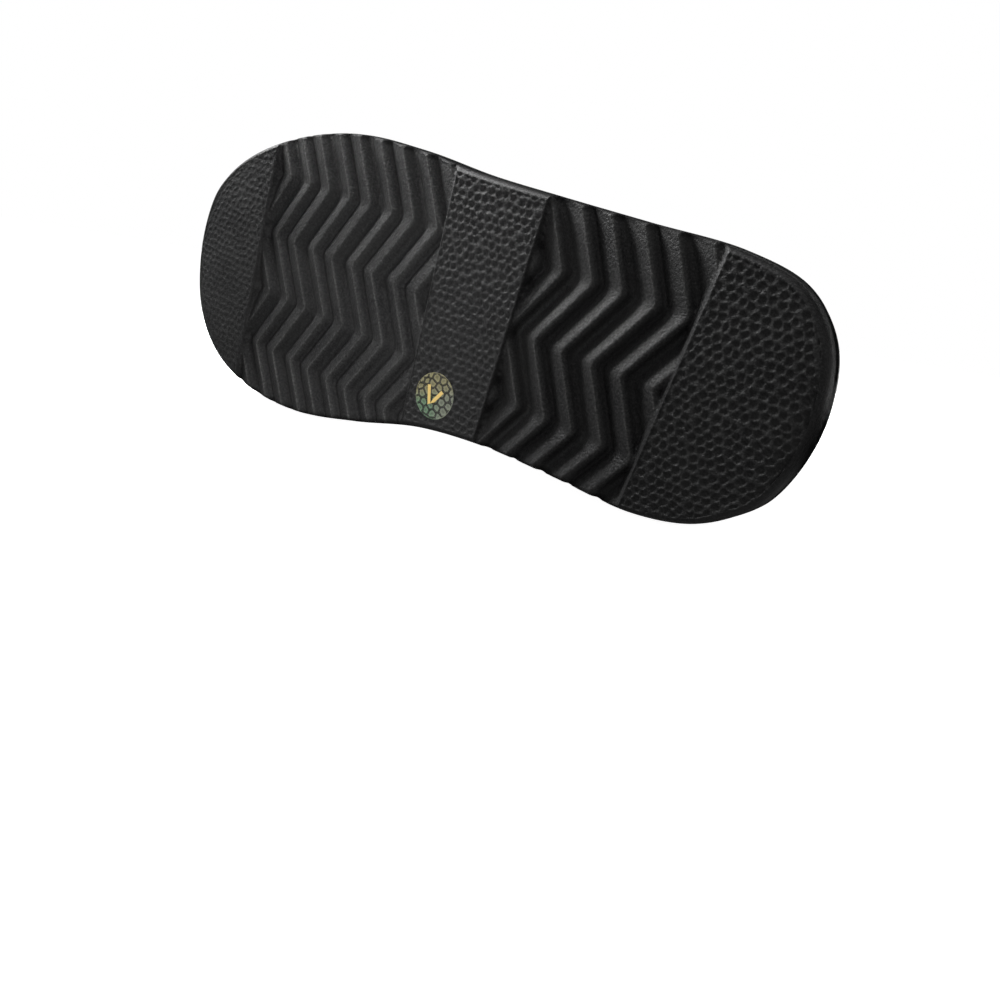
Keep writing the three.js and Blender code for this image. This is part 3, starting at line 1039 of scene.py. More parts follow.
RUBBER = GrainFinish(
    name="black_foam_rubber",
    dark=(0.006, 0.006, 0.0064),
    pale=(0.034, 0.034, 0.0345),
    worn=(0.024, 0.024, 0.0235),
    # Pale colour for worn places and for painted highlights on crests and scuffed tops.
    rubbed_and_highlight=(0.15, 0.15, 0.147),
    grains=1300.0,
    patches=45.0,
    relief=0.00036,
    roughness=(0.46, 0.62),
    specular=0.32,
    sheen=0.0,
)
SUEDE = GrainFinish(
    name="black_suede",
    dark=(0.003, 0.003, 0.0032),
    pale=(0.021, 0.021, 0.0215),
    worn=(0.021, 0.0205, 0.0205),
    grains=1100.0,
    patches=46.0,
    relief=0.0005,
    roughness=(0.8, 1.0),
    specular=0.18,
    sheen=0.12,
)
PILE = GrainFinish(
    name="dark_pile",
    dark=(0.006, 0.006, 0.006),
    pale=(0.03, 0.029, 0.028),
    worn=(0.026, 0.025, 0.024),
    grains=950.0,
    patches=90.0,
    relief=0.0009,
    roughness=(0.92, 1.0),
    specular=0.1,
    sheen=0.5,
)
THREAD = GrainFinish(
    name="black_thread",
    dark=(0.008, 0.008, 0.008),
    pale=(0.03, 0.03, 0.03),
    worn=(0.03, 0.03, 0.03),
    grains=4000.0,
    patches=200.0,
    relief=0.00005,
    roughness=(0.55, 0.7),
    specular=0.4,
    sheen=0.1,
)


@dataclass
class Outsole:
    """Moulded cup sole: tread, side wall and cup as one closed skin."""

    form: SoleForm
    lines: int = 190
    edge_crowding: float = 0.25
    heel_stations: int = 100
    heel_crowding: float = 1.15
    strip_stations: int = 66
    toe_stations: int = 58
    toe_crowding: float = 1.25
    edge_rounds: int = 6
    zigzag_rounds: int = 8
    rib_gap: float = 1.6
    even_clear: float = 0.5
    corner_gap: float = 0.25
    field_margin: float = 2.0
    station_gap: float = 0.01
    wall_steps: tuple[int, ...] = (2, 1, 2, 1, 1, 1, 1, 2)

    def across(self, x: Array, share: Array) -> Array:
        """Place across the tread: a share of the way from its medial to its lateral edge."""
        low, high = self.form.sides(x, self.form.side[0].inset)
        return low + (high - low) * share

    def edge_stations(self, share: Array) -> Array:
        """Stations on straight lines across the sole, on the pads and on the slopes of their edges.

        Args:
            share: Place of each line across the tread.

        Returns:
            Stations by lines.
        """
        form = self.form
        heel, fore = form.fields()
        start, end = (PadEdge(x, 0.0) for x in form.ends(form.side[0].inset))
        pads = (
            (start, heel.rear, np.linspace(0, 1, self.heel_stations) ** self.heel_crowding),
            (heel.front, fore.rear, np.linspace(0, 1, self.strip_stations)),
            (fore.front, end, 1 - np.linspace(1, 0, self.toe_stations) ** self.toe_crowding),
        )
        rows = [np.add(a, np.outer(part, np.subtract(b, a))) for a, b, part in pads]
        for ribs in (heel, fore):
            rows.append([(ribs.rear.x + r.inward, ribs.rear.slant) for r in form.sloped_edge])
            rows.append([(ribs.front.x - r.inward, ribs.front.slant) for r in form.steep_edge])
        base, slant = np.concatenate(rows).T[..., None]
        x = np.repeat(base, len(share), axis=1)
        for _ in range(self.edge_rounds):
            x = np.clip(base + slant * self.across(x, share), start.x, end.x)
        return x

    def rib_stations(self, ribs: RibField, share: Array) -> Array:
        """Stations that follow the zigzag: on either side of each rib's corners, and even ones between.

        Args:
            ribs: The field.
            share: Place of each line across the tread.

        Returns:
            Stations by lines.
        """
        form = self.form
        at, _ = ribs.corners()
        at = np.unique(np.round(at[(at >= 0) & (at < ribs.pitch)], CORNER_DECIMALS))
        near = (at[:, None] + np.array([-form.rib_round, form.rib_round])).ravel() % ribs.pitch
        even = np.arange(0, ribs.pitch, self.rib_gap)
        clear = np.abs(even[:, None] - near[None, :]).min(axis=1) > self.even_clear
        offsets = np.sort(np.concatenate([near, even[clear]]))
        offsets = offsets[np.insert(np.diff(offsets) > self.corner_gap, 0, True)]
        low = ribs.rear.x - form.zigzag_swing - self.field_margin
        high = ribs.front.x + self.field_margin
        first = math.floor((low - ribs.wide_at) / ribs.pitch)
        last = math.ceil((high - ribs.wide_at) / ribs.pitch)
        s = (ribs.wide_at + np.arange(first, last)[:, None] * ribs.pitch + offsets).ravel()
        s = s[(s > low) & (s < high)][:, None]
        x = np.repeat(s, len(share), axis=1)
        for _ in range(self.zigzag_rounds):
            x = s + form.zigzag(self.across(x, share))
        return x

    def stations(self, share: Array) -> Array:
        """All stations along each line from heel to toe, kept a little apart.

        Args:
            share: Place of each line across the tread.

        Returns:
            Stations by lines, rising along each line.
        """
        form = self.form
        bands = [self.rib_stations(ribs, share) for ribs in form.fields()]
        x = np.sort(np.concatenate([self.edge_stations(share), *bands]), axis=0)
        spread = self.station_gap * np.arange(len(x))[:, None]
        x = np.maximum.accumulate(x - spread, axis=0) + spread
        return np.clip(x, *form.ends(form.side[0].inset))

    def tread(self) -> Array:
        """Tread: the depth of ribs and dimples and the lift of the ends, over the plan.

        Returns:
            Stations by lines by three.
        """
        form = self.form
        even = np.linspace(0, 1, self.lines)
        share = eased(self.lines) * self.edge_crowding + even * (1 - self.edge_crowding)
        x = self.stations(share)
        y = self.across(x, share)
        inside = room_inside(x, y, (y[:, :1], y[:, -1:]), (x.min(), x.max()))
        dimples = form.dimples(x, y, form.side[0].inset + inside)
        return np.stack([x, y, form.depth(x, y) + dimples + form.lift(x)], axis=-1)

    def wall(self, tread: Array) -> Array:
        """Side wall, rim and cup side: a profile carried round the outline from the tread's own edge.

        Args:
            tread: Tread points.

        Returns:
            Rows of the profile by places round the sole by three.
        """
        form = self.form
        medial, lateral = form.edges(form.side[0].inset)
        there = np.interp(tread[:, 0, 0], medial[:, 0], medial[:, 2])
        back = np.interp(tread[:, -1, 0], lateral[:, 0], lateral[:, 2])
        index = np.concatenate([there, back[-2:0:-1]])
        keys = np.arange(len(form.side))
        steps = [k + np.arange(n) / n for k, n in enumerate(self.wall_steps)]
        step = np.append(np.concatenate(steps), keys[-1])
        rise, inset = (table_curve(step, keys, column) for column in zip(*form.side))
        rise = np.append(rise, [1.0, 1.0])
        inset = np.append(inset, [form.lip_inset, form.rim_inner_inset])
        plan = form.wall_point(*np.broadcast_arrays(index, inset[:, None]))
        x, y = np.moveaxis(plan, -1, 0)
        height = np.maximum(rise[:, None] * form.rim(x), form.depth(x, y))
        height[-1] -= form.cup_depth
        wall = np.stack([x, y, height + form.lift(x)], axis=-1)
        wall[0] = np.concatenate([tread[:, 0], tread[-2:0:-1, -1]])
        return wall

    def build(self) -> list[Object]:
        """Makes the closed skin: tread, wall and a cup floor that is straight across.

        Returns:
            The sole, in place of the plain solid.
        """
        tread = self.tread()
        wall = self.wall(tread)
        count, ring = len(tread), wall.shape[1]
        wall_first = count * self.lines
        k = np.arange(count - 1)
        cup = np.stack([k, k + 1, ring - k - 1, (ring - k) % ring], axis=1)
        faces = [
            quads(count, self.lines),
            quads(len(wall), ring, closed=True, first=wall_first),
            cup + wall_first + (len(wall) - 1) * ring,
        ]
        points = np.concatenate([tread.reshape(-1, 3), wall.reshape(-1, 3)])
        piece = add_piece("outsole_skin", points, np.concatenate(faces), RUBBER.material())
        standing = STANDING.back(piece)
        # Pale colour, partly worn and partly painted highlight on crests and scuffed tops.
        add_layer(piece, Layer.WEAR_AND_HIGHLIGHT, self.form.wear_and_highlight(standing))
        # Painted shade on the rim and the sloped pad edges.
        add_layer(piece, Layer.RIM_SHADE, self.form.rim_shade_share(standing))
        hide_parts("outsole")
        return [piece]


@dataclass(frozen=True)
class UpperForm:
    """Sizes and surface of the upper: a foot form and a shaft that run into each other at the instep."""

    sole: SoleForm
    wall: float = 3.0
    gap: float = 0.3
    collar_z: float = 176.0
    ridge: tuple[RidgeRow, ...] = (
        RidgeRow(0, 44),
        RidgeRow(30, 66),
        RidgeRow(60, 92),
        RidgeRow(100, 108),
        RidgeRow(128, 99),
        RidgeRow(155, 84.5),
        RidgeRow(185, 72.5),
        RidgeRow(215, 66),
        RidgeRow(269, 61),
    )
    shaft: tuple[ShaftRow, ...] = (
        ShaftRow(20, 10, 112, 47, -19),
        ShaftRow(32, 6.4, 117, 51, -23.5),
        ShaftRow(50, 5.8, 121, 52.5, -25),
        ShaftRow(75, 8.2, 122, 51.5, -24.5),
        ShaftRow(105, 11.2, 119, 51, -24.5),
        ShaftRow(140, 14.4, 118.5, 52.5, -26),
        ShaftRow(176, 18, 121, 54.5, -28),
    )
    toe_round_start: float = 216.0
    toe_round_power: float = 2.6
    side_power: float = 2.5
    top_power: float = 2.3
    side_bulge: float = 0.05
    bulge_rise: float = 16.0
    shaft_power: float = 2.25
    blend: float = 16.0
    foot_scale: float = 34.0
    axis: Span = (64.0, 13.0)
    pivot_out: float = 14.0
    pivot_z: float = 46.0
    shaft_from: float = 130.0
    bearing_share: float = 0.5
    first_rise: float = 1.0
    last_tilt: float = math.pi / 2 - 0.02
    tilts: int = 220
    levels: int = 40
    sunk_rows: int = 8
    rim_overlap: float = 0.4
    reach: float = 260.0
    step: float = 2.0
    halvings: int = 18
    creases: tuple[Crease, ...] = (
        Crease(116, -0.28, 88, 1.5, 4.6),
        Crease(101, -0.16, 74, 1.9, 5.2),
        Crease(132, -0.33, 66, 1.0, 4.2),
        Crease(88, -0.05, 50, 1.1, 4.6),
    )
    ankle_front: float = 122.0
    crease_fade: float = 0.35
    crease_wander: float = 1.6
    wander_length: float = 17.0
    swell_share: float = 0.45
    swell_off: float = 1.7

    def feather_inset(self) -> float:
        """Distance inside the widest outline of the line where the upper meets the cup."""
        return self.sole.rim_inner_inset + self.gap

    def field(self, p: Array) -> Array:
        """Below nothing inside the upper: a rounded foot and a rounded shaft, joined by a soft minimum.

        Args:
            p: Standing points.

        Returns:
            A rough signed distance.
        """
        x, y, z = np.moveaxis(p, -1, 0)
        low, high = self.sole.sides(x, self.feather_inset())
        heel, toe = self.sole.ends(self.feather_inset())
        rim = self.sole.rim(x)
        floor = rim - self.sole.cup_depth
        along = np.clip((x - self.toe_round_start) / (toe - self.toe_round_start), 0, 1)
        arch = np.maximum(TINY, 1 - along**self.toe_round_power) ** (1 / self.toe_round_power)
        ridge = (table_curve(x, *zip(*self.ridge)) - floor) * arch
        swell = 1 + self.side_bulge * smoothstep(z - rim, 0, self.bulge_rise)
        u = np.abs(y - (low + high) / 2) / ((high - low) / 2 * swell + TINY)
        v = np.maximum(0, z - floor - self.sole.lift(x)) / (ridge + TINY)
        foot = ((u**self.side_power + v**self.top_power) ** (1 / self.side_power) - 1) * self.foot_scale
        foot = np.where((x <= heel) | (x >= toe), self.foot_scale, foot)
        heights, *extents = zip(*self.shaft)
        back, front, outer, inner = (table_curve(z, heights, column) for column in extents)
        u = np.abs(x - (front + back) / 2) / ((front - back) / 2)
        v = np.abs(y - (outer + inner) / 2) / ((outer - inner) / 2)
        shaft = (u**self.shaft_power + v**self.shaft_power) ** (1 / self.shaft_power) - 1
        shaft = shaft * (outer - inner) / 2
        mix = np.maximum(0, self.blend - np.abs(foot - shaft)) / self.blend
        return np.minimum(foot, shaft) - mix**2 * self.blend / 4

    def cast(self, start: Array, way: Array) -> Array:
        """Finds where rays leave the upper, by marching and then halving.

        Args:
            start: Origins inside the upper.
            way: Unit directions.

        Returns:
            The points on the surface.
        """
        inside = np.ones(start.shape[:-1], bool)
        near = np.zeros(start.shape[:-1])
        for t in np.arange(self.step, self.reach, self.step):
            inside &= self.field(start + way * t) < 0
            near = np.where(inside, t, near)
            if not inside.any():
                break
        far = near + self.step
        for _ in range(self.halvings):
            mid = (near + far) / 2
            within = self.field(start + way * mid[..., None]) < 0
            near = np.where(within, mid, near)
            far = np.where(within, far, mid)
        return start + way * near[..., None]

    def feather_points(self, meridians: int) -> Array:
        """Feet of the meridians on the feather line, spaced partly by bearing and partly by length.

        Args:
            meridians: Number of meridians round the foot.

        Returns:
            Plan points.
        """
        curve, normal = self.sole.outline()
        line = curve - normal * self.feather_inset()
        bearing = np.arctan2(line[:, 1] - self.axis[1], line[:, 0] - self.axis[0])
        turn = np.abs(np.angle(np.exp(1j * (np.roll(bearing, -1) - bearing)))) / (2 * np.pi)
        length = np.linalg.norm(np.roll(line, -1, axis=0) - line, axis=1)
        gain = self.bearing_share * turn + (1 - self.bearing_share) * length / length.sum()
        weight = np.insert(np.cumsum(gain), 0, 0)
        want = np.linspace(0, weight[-1], meridians, endpoint=False)
        looped = np.vstack([line, line[:1]])
        return np.stack([np.interp(want, weight, column) for column in looped.T], axis=1)

    def shell(self, meridians: int, rows: int) -> Array:
        """Outer surface: even meridians from the feather line over the foot and up the shaft.

        Args:
            meridians: Number of meridians round the foot.
            rows: Points on each.

        Returns:
            Meridians by rows by three.
        """
        foot = self.feather_points(meridians)
        out = foot - np.array(self.axis)
        reach = np.linalg.norm(out, axis=1)
        way = np.column_stack([out / reach[:, None], np.zeros(meridians)])
        up = np.array([0.0, 0.0, 1.0])
        rim = self.sole.rim(foot[:, 0]) + self.sole.lift(foot[:, 0])
        base = rim - self.sole.cup_depth + self.gap
        pivot = np.array([*self.axis, self.pivot_z]) + way * self.pivot_out
        first = np.arctan2(rim + self.first_rise - self.pivot_z, reach - self.pivot_out)[:, None]
        tilt = first + (self.last_tilt - first) * np.linspace(0, 1, self.tilts)
        rays = np.cos(tilt)[..., None] * way[:, None, :] + np.sin(tilt)[..., None] * up
        hits = self.cast(np.repeat(pivot[:, None, :], self.tilts, axis=1), rays)
        below = np.cumsum(hits[..., 2] > self.shaft_from, axis=1) == 0
        last = np.maximum(below.sum(axis=1) - 1, 0)
        hits = np.where(below[..., None], hits, hits[np.arange(meridians), last][:, None, :])
        levels = np.linspace(self.shaft_from, self.collar_z, self.levels)
        middle = np.array([*self.axis, 0.0]) + levels[:, None] * up
        level_rays = np.repeat(way[:, None, :], self.levels, axis=1)
        tall = self.cast(np.repeat(middle[None], meridians, axis=0), level_rays)
        sunk = (rim + self.rim_overlap - base)[:, None] * np.linspace(0, 1, self.sunk_rows)
        heights = (base[:, None] + sunk)[..., None]
        cup = np.concatenate([np.repeat(foot[:, None, :], self.sunk_rows, axis=1), heights], axis=2)
        return resample(np.concatenate([cup, hits, tall], axis=1), rows)

    def crease_depth(self, p: Array) -> Array:
        """Soft troughs round the front of the ankle with a swell on either side, as bells across each.

        Args:
            p: Points of the shell.

        Returns:
            Depth along the normal.
        """
        total = np.zeros(p.shape[:-1])
        x, y, z = np.moveaxis(p, -1, 0)
        behind = self.ankle_front - x
        for crease in self.creases:
            wander = self.crease_wander * np.sin(y / self.wander_length + crease.front_z)
            off = z - crease.front_z - crease.fall * behind - wander
            fade = smoothstep(-behind, -crease.reach, -self.crease_fade * crease.reach)
            swell = bell(np.abs(off) - self.swell_off * crease.width, crease.width)
            total += fade * crease.depth * (bell(off, crease.width) - self.swell_share * swell)
        return total


@dataclass
class Upper:
    """Suede upper with its hem and stitches, and the pile lining inside it."""

    form: UpperForm
    meridians: int = 220
    rows: int = 120
    foot_rows: int = 40
    level_low: int = 6
    level_top: int = 2
    skin: float = 1.5
    above_rim: Span = (27.0, 34.0)
    hem: float = 13.0
    hem_step: float = 0.45
    hem_slope: Span = (-0.8, 0.4)
    hem_fade: Span = (-27.0, -17.0)
    hem_round: int = 7
    seam_before: float = 40.0
    seam_depth: float = 0.7
    seam_width: float = 0.9
    seam_swell: float = 0.5
    swell_off: float = 3.2
    swell_width: float = 2.0
    stitch: float = 3.2
    stitch_pitch: float = 4.4
    hem_rows: Span = (2.0, 4.4)
    seam_rows: Span = (-4.4, 4.4)
    seam_end: float = 3.0
    back_meridians: int = 24
    thread: float = 0.32
    thread_sides: int = 6
    thread_profile: tuple[float, ...] = (0.0, 0.9, 1.0, 0.9, 0.0)
    thread_proud: float = 0.35
    lining_from: int = 10
    lining_gap: float = 0.15
    lining_base: float = 0.2
    lip_share: float = 0.45
    lip_rise: float = 1.2
    pile: float = 1.5
    tuft: CellPattern = CellPattern(pitch=6.0, jitter=0.28, spread=0.1, seed=21)
    tuft_span: Span = (-0.2, 2.4)

    def normals(self, shell: Array) -> Array:
        """Outward normals of the closed band of meridians, level at its upper and lower edge.

        Args:
            shell: Points, as meridians by rows by three.

        Returns:
            Unit normals in the same order.
        """
        round_way = np.roll(shell, -1, axis=0) - np.roll(shell, 1, axis=0)
        normal = unit(np.cross(round_way, np.gradient(shell, axis=1)))
        level = unit(normal * np.array([1.0, 1.0, 0.0]))
        normal[:, : self.level_low] = level[:, : self.level_low]
        normal[:, -self.level_top :] = level[:, -self.level_top :]
        return normal

    def surface(self) -> tuple[Array, Array]:
        """Outer surface with creases, the turned hem's step and the back seam's groove.

        Returns:
            Points and normals, as meridians by rows by three.
        """
        shell = self.form.shell(self.meridians, self.rows)
        normal = self.normals(shell)
        x, y, z = np.moveaxis(shell, -1, 0)
        over_hem = z - self.form.collar_z + self.hem
        hem = self.hem_step * smoothstep(over_hem, *self.hem_slope) * smoothstep(y, *self.hem_fade)
        aside = np.where(x < self.seam_before, np.abs(y - self.form.axis[1]), np.inf)
        swell = self.seam_swell * bell(aside - self.swell_off, self.swell_width)
        seam = self.seam_depth * (bell(aside, self.seam_width) - swell)
        move = hem - (seam + self.form.crease_depth(shell)) * smoothstep(z, *self.above_rim)
        return shell + normal * move[..., None], normal

    def build(self) -> list[Object]:
        """Makes the shell, its lining and its stitches.

        Returns:
            The pieces.
        """
        outer, normal = self.surface()
        makers = (self.shell_piece, self.lining_piece, self.stitch_piece)
        return [make(outer, normal) for make in makers]

    def band_piece(self, name: str, loops: Array, finish: GrainFinish) -> Object:
        """Closed skin from a loop on each meridian.

        Args:
            name: Piece name.
            loops: Meridians by points of the loop by three.
            finish: Its finish.

        Returns:
            The piece.
        """
        grid = np.swapaxes(loops, 0, 1)
        faces = quads(len(grid), self.meridians, closed=True, looped=True)
        return add_piece(name, grid, faces, finish.material())

    def shell_piece(self, outer: Array, normal: Array) -> Object:
        """Closed skin: out along the shell, over a rounded hem and back down inside it.

        Args:
            outer: Shell points.
            normal: Shell normals.

        Returns:
            The shell.
        """
        turn = np.linspace(0, np.pi, self.hem_round)[1:-1, None]
        top, out = outer[:, -1:], normal[:, -1:]
        half = self.skin / 2
        rolled = top - out * half + out * np.cos(turn) * half + np.sin(turn) * np.array([0.0, 0.0, half])
        inner = (outer - normal * self.skin)[:, ::-1]
        piece = self.band_piece("upper_shell", np.concatenate([outer, rolled, inner], axis=1), SUEDE)
        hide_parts("upper")
        return piece

    def lining_piece(self, outer: Array, normal: Array) -> Object:
        """Pile lining: a closed layer inside the shell whose inner face stands up in soft tufts.

        Args:
            outer: Shell points.
            normal: Shell normals.

        Returns:
            The lining.
        """
        rows = slice(self.lining_from, self.rows - 1)
        lined = outer[:, rows]
        back = lined - normal[:, rows] * (self.skin + self.lining_gap)
        run = np.cumsum(np.linalg.norm(np.diff(lined, axis=1, prepend=lined[:, :1]), axis=2), axis=1)
        girth = np.cumsum(np.linalg.norm(np.roll(outer[:, -1], -1, axis=0) - outer[:, -1], axis=1))
        border, _ = self.tuft.cells(*np.broadcast_arrays(girth[:, None], run))
        base = self.form.wall - self.skin + self.lining_base
        thick = base + self.pile * smoothstep(border, *self.tuft_span)
        front = back - normal[:, rows] * thick[..., None]
        lip = (1 - self.lip_share) * front[:, -1:] + self.lip_share * back[:, -1:]
        lip = lip + np.array([0.0, 0.0, self.lip_rise])
        return self.band_piece("pile_lining", np.concatenate([back, lip, front[:, ::-1]], axis=1), PILE)

    def stitch_piece(self, outer: Array, normal: Array) -> Object:
        """Short thread bars in rows: two round the hem and two along the back seam.

        Args:
            outer: Shell points.
            normal: Shell normals.

        Returns:
            The stitches, as one mesh.
        """
        rows = []
        for over in self.hem_rows:
            ring = self.level_line(outer, normal, self.form.collar_z - self.hem + over)
            rows.append(self.bars_on(np.vstack([ring, ring[:1]])))
        for aside in self.seam_rows:
            rows.append(self.bars_on(self.back_line(outer, normal, self.form.axis[1] + aside)))
        radius = self.thread * np.array(self.thread_profile)
        points, faces = bars(np.concatenate(rows), self.thread_sides, radius)
        return add_piece("upper_stitches", points, faces, THREAD.material())

    def level_line(self, outer: Array, normal: Array, height: float) -> Array:
        """Line round the shaft at one height, just above the shell.

        Args:
            outer: Shell points.
            normal: Shell normals.
            height: Where the line runs.

        Returns:
            Points of the line.
        """
        z = outer[..., 2]
        i = np.argmax((z > height) & (np.arange(self.rows) > self.foot_rows), axis=1)
        m = np.arange(self.meridians)
        t = ((height - z[m, i - 1]) / (z[m, i] - z[m, i - 1]))[:, None]
        at = outer[m, i - 1] * (1 - t) + outer[m, i] * t
        return at + normal[m, i] * self.thread * self.thread_proud

    def back_line(self, outer: Array, normal: Array, y: float) -> Array:
        """Line up the back at one place across, just above the shell.

        Args:
            outer: Shell points.
            normal: Shell normals.
            y: Where the line runs.

        Returns:
            Points of the line.
        """
        back = np.argsort(outer[:, -1, 0])[: self.back_meridians]
        back = back[np.argsort(outer[back, -1, 1])]
        z = outer[back[0], :, 2]
        top = self.form.collar_z - self.hem - self.seam_end
        rows = np.flatnonzero((z > self.above_rim[1]) & (z < top))
        ys = outer[back][:, rows, 1]
        i = np.clip((ys < y).sum(axis=0), 1, len(back) - 1)
        c = np.arange(len(rows))
        t = ((y - ys[i - 1, c]) / (ys[i, c] - ys[i - 1, c]))[:, None]
        at = outer[back[i - 1], rows] * (1 - t) + outer[back[i], rows] * t
        return at + normal[back[i], rows] * self.thread * self.thread_proud

    def bars_on(self, line: Array) -> Array:
        """Stitches along a line: equal bars with a gap after each.

        Args:
            line: Points of the line.

        Returns:
            Bars by stations by three.
        """
        run = np.insert(np.cumsum(np.linalg.norm(np.diff(line, axis=0), axis=1)), 0, 0)
        count = int(run[-1] / self.stitch_pitch)
        start = np.arange(count) * run[-1] / count
        at = start[:, None] + np.linspace(0, self.stitch, len(self.thread_profile))
        return np.stack([np.interp(at, run, column) for column in line.T], axis=-1)


@dataclass
class Insole:
    """Thin board with a pile top inside the cup."""

    form: SoleForm
    inset: float = 9.7
    gap: float = 0.3
    thickness: float = 4.0
    edge_round: float = 3.0
    stations: int = 150
    lines: int = 60
    tuft: CellPattern = CellPattern(pitch=5.5, jitter=0.28, spread=0.1, seed=33)
    tuft_span: Span = (-0.2, 2.0)
    tuft_sink: float = 0.9
    tuft_rise: float = 1.1

    def build(self) -> list[Object]:
        """Makes the board: two sheets over one plan that meet at a rounded edge, the upper one tufted.

        Returns:
            The insole, in place of the plain solid.
        """
        start, end = self.form.ends(self.inset)
        x = (start + (end - start) * eased(self.stations))[:, None]
        low, high = self.form.sides(x, self.inset)
        y = low + (high - low) * eased(self.lines)
        x = np.repeat(x, self.lines, axis=1)
        under = self.form.rim(x) - self.form.cup_depth + self.form.lift(x) + self.gap
        edge = room_inside(x, y, (low, high), (x.min(), x.max()))
        crown = np.sqrt(np.clip(edge / self.edge_round, 0, 1))
        puff = smoothstep(self.tuft.cells(x, y)[0], *self.tuft_span)
        over = under + crown * (self.thickness - self.tuft_sink + self.tuft_rise * puff)
        points = np.stack([np.stack([x, y, z], axis=-1) for z in (over, under)])
        faces = quads(self.stations, self.lines)
        both = np.concatenate([faces[:, ::-1], faces + x.size])
        piece = add_piece("insole_pile", points, both, PILE.material())
        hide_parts("insole")
        return [piece]


@dataclass
class Film:
    """Round clear film stuck on the strip, with a plain gold tick on it."""

    form: SoleForm
    centre: Span = (123.0, -20.0)
    radius: float = 8.4
    proud: float = 0.07
    sag: float = 0.1
    rings: int = 46
    spokes: int = 150
    tick: tuple[Span, ...] = ((-3.0, 2.6), (-0.4, -1.6), (1.3, -3.4), (3.4, 3.2))
    tick_proud: float = 0.04
    stroke: float = 0.68
    warm: Colour = (0.37, 0.34, 0.18)
    green: Colour = (0.19, 0.33, 0.2)
    grey: Colour = (0.3, 0.33, 0.25)
    warm_way: Span = (0.435, 0.888)
    warm_span: Span = (-0.25, 0.45)
    grey_way: Span = (-0.934, 0.357)
    grey_span: Span = (-0.5, 0.5)
    ring_span: Span = (0.18, 0.6)
    middle_span: Span = (0.7, 1.4)
    middle_fade: float = 0.35
    rim_width: Span = (0.5, 0.1)
    rim_air: float = 0.75
    clear_tint: float = 0.25
    cloud: Colour = (0.62, 0.6, 0.5)
    cloud_scale: float = 900.0
    cloud_span: Span = (0.35, 0.7)
    cloud_share: Span = (0.0, 0.12)
    air_span: Span = (0.02, 0.9)
    air_alpha: Span = (0.3, 0.8)
    film_roughness: float = 0.22
    gold: tuple[Colour, Colour] = ((0.8, 0.52, 0.14), (1.0, 0.78, 0.3))
    gold_scale: float = 1400.0
    gold_roughness: float = 0.45
    gold_metal: float = 0.25
    noise_detail: float = 2.0

    def film_material(self) -> Material:
        """Clear film: pale where air is caught in the dimples, clear on the ridges, tinted by place.

        Returns:
            The material.
        """
        made, graph, shader = start_material("clear_film")
        cloud = graph.noise(graph.place(), self.cloud_scale, self.noise_detail)
        share = graph.ramp(cloud, self.cloud_span, self.cloud_share)
        colour = graph.mix(share, graph.layer(Layer.TINT, "Color"), self.cloud)
        alpha = graph.ramp(graph.layer(Layer.POCKET), self.air_span, self.air_alpha)
        graph.fill(shader, Base_Color=colour, Alpha=alpha, Roughness=self.film_roughness)
        return made

    def gold_material(self) -> Material:
        """Printed gold, slightly uneven.

        Returns:
            The material.
        """
        made, graph, shader = start_material("gold_print")
        uneven = graph.noise(graph.place(), self.gold_scale, self.noise_detail)
        colour = graph.mix(uneven, *self.gold)
        graph.fill(shader, Base_Color=colour, Roughness=self.gold_roughness, Metallic=self.gold_metal)
        return made

    def cells(self, spot: Array) -> tuple[Array, Array]:
        """Air caught in a ring round each dimple, and the film's tint: warm above, green to grey below.

        Args:
            spot: Plan points from the film's middle.

        Returns:
            Share of pale film and colour at each point.
        """
        border, _ = self.form.dents.cells(*(spot + np.array(self.centre)).T)
        ring = smoothstep(border, *self.ring_span)
        ring *= 1 - self.middle_fade * smoothstep(border, *self.middle_span)
        rim = smoothstep(np.linalg.norm(spot, axis=1), *np.subtract(self.radius, self.rim_width))
        warm = smoothstep(spot @ np.array(self.warm_way) / self.radius, *self.warm_span)[:, None]
        grey = smoothstep(spot @ np.array(self.grey_way) / self.radius, *self.grey_span)[:, None]
        below = np.array(self.green) * (1 - grey) + np.array(self.grey) * grey
        tint = warm * np.array(self.warm) + (1 - warm) * below
        strength = self.clear_tint + (1 - self.clear_tint) * np.maximum(ring, rim)
        return np.maximum(ring, self.rim_air * rim), tint * strength[:, None]

    def build(self) -> list[Object]:
        """Makes the film, a disc that sags into each dimple, and the tick, a ribbon on a bent line.

        Returns:
            The pieces.
        """
        r = np.linspace(0, 1, self.rings)[:, None] * self.radius
        a = np.linspace(0, 2 * np.pi, self.spokes, endpoint=False)[None, :]
        x = self.centre[0] + r * np.cos(a)
        y = self.centre[1] + r * np.sin(a)
        border, _ = self.form.dents.cells(x, y)
        z = self.sag * smoothstep(border, self.form.dimple_land, self.form.dimple_slope) - self.proud
        faces = quads(self.rings, self.spokes, closed=True)[:, ::-1]
        film = add_piece("inspection_film", np.stack([x, y, z], axis=-1), faces, self.film_material())
        air, tint = self.cells(STANDING.back(film)[:, :2] - np.array(self.centre))
        add_layer(film, Layer.POCKET, air)
        add_layer(film, Layer.TINT, tint)
        line = np.add(self.tick, self.centre)
        along = unit(np.gradient(line, axis=0))
        side = np.stack([-along[:, 1], along[:, 0]], axis=1) * self.stroke
        ribbon = np.stack([line - side, line + side])
        height = np.full((*ribbon.shape[:2], 1), -self.proud - self.tick_proud)
        ribbon = np.concatenate([ribbon, height], axis=-1)
        mark = add_piece("film_tick", ribbon, quads(2, len(line)), self.gold_material())
        return [film, mark]


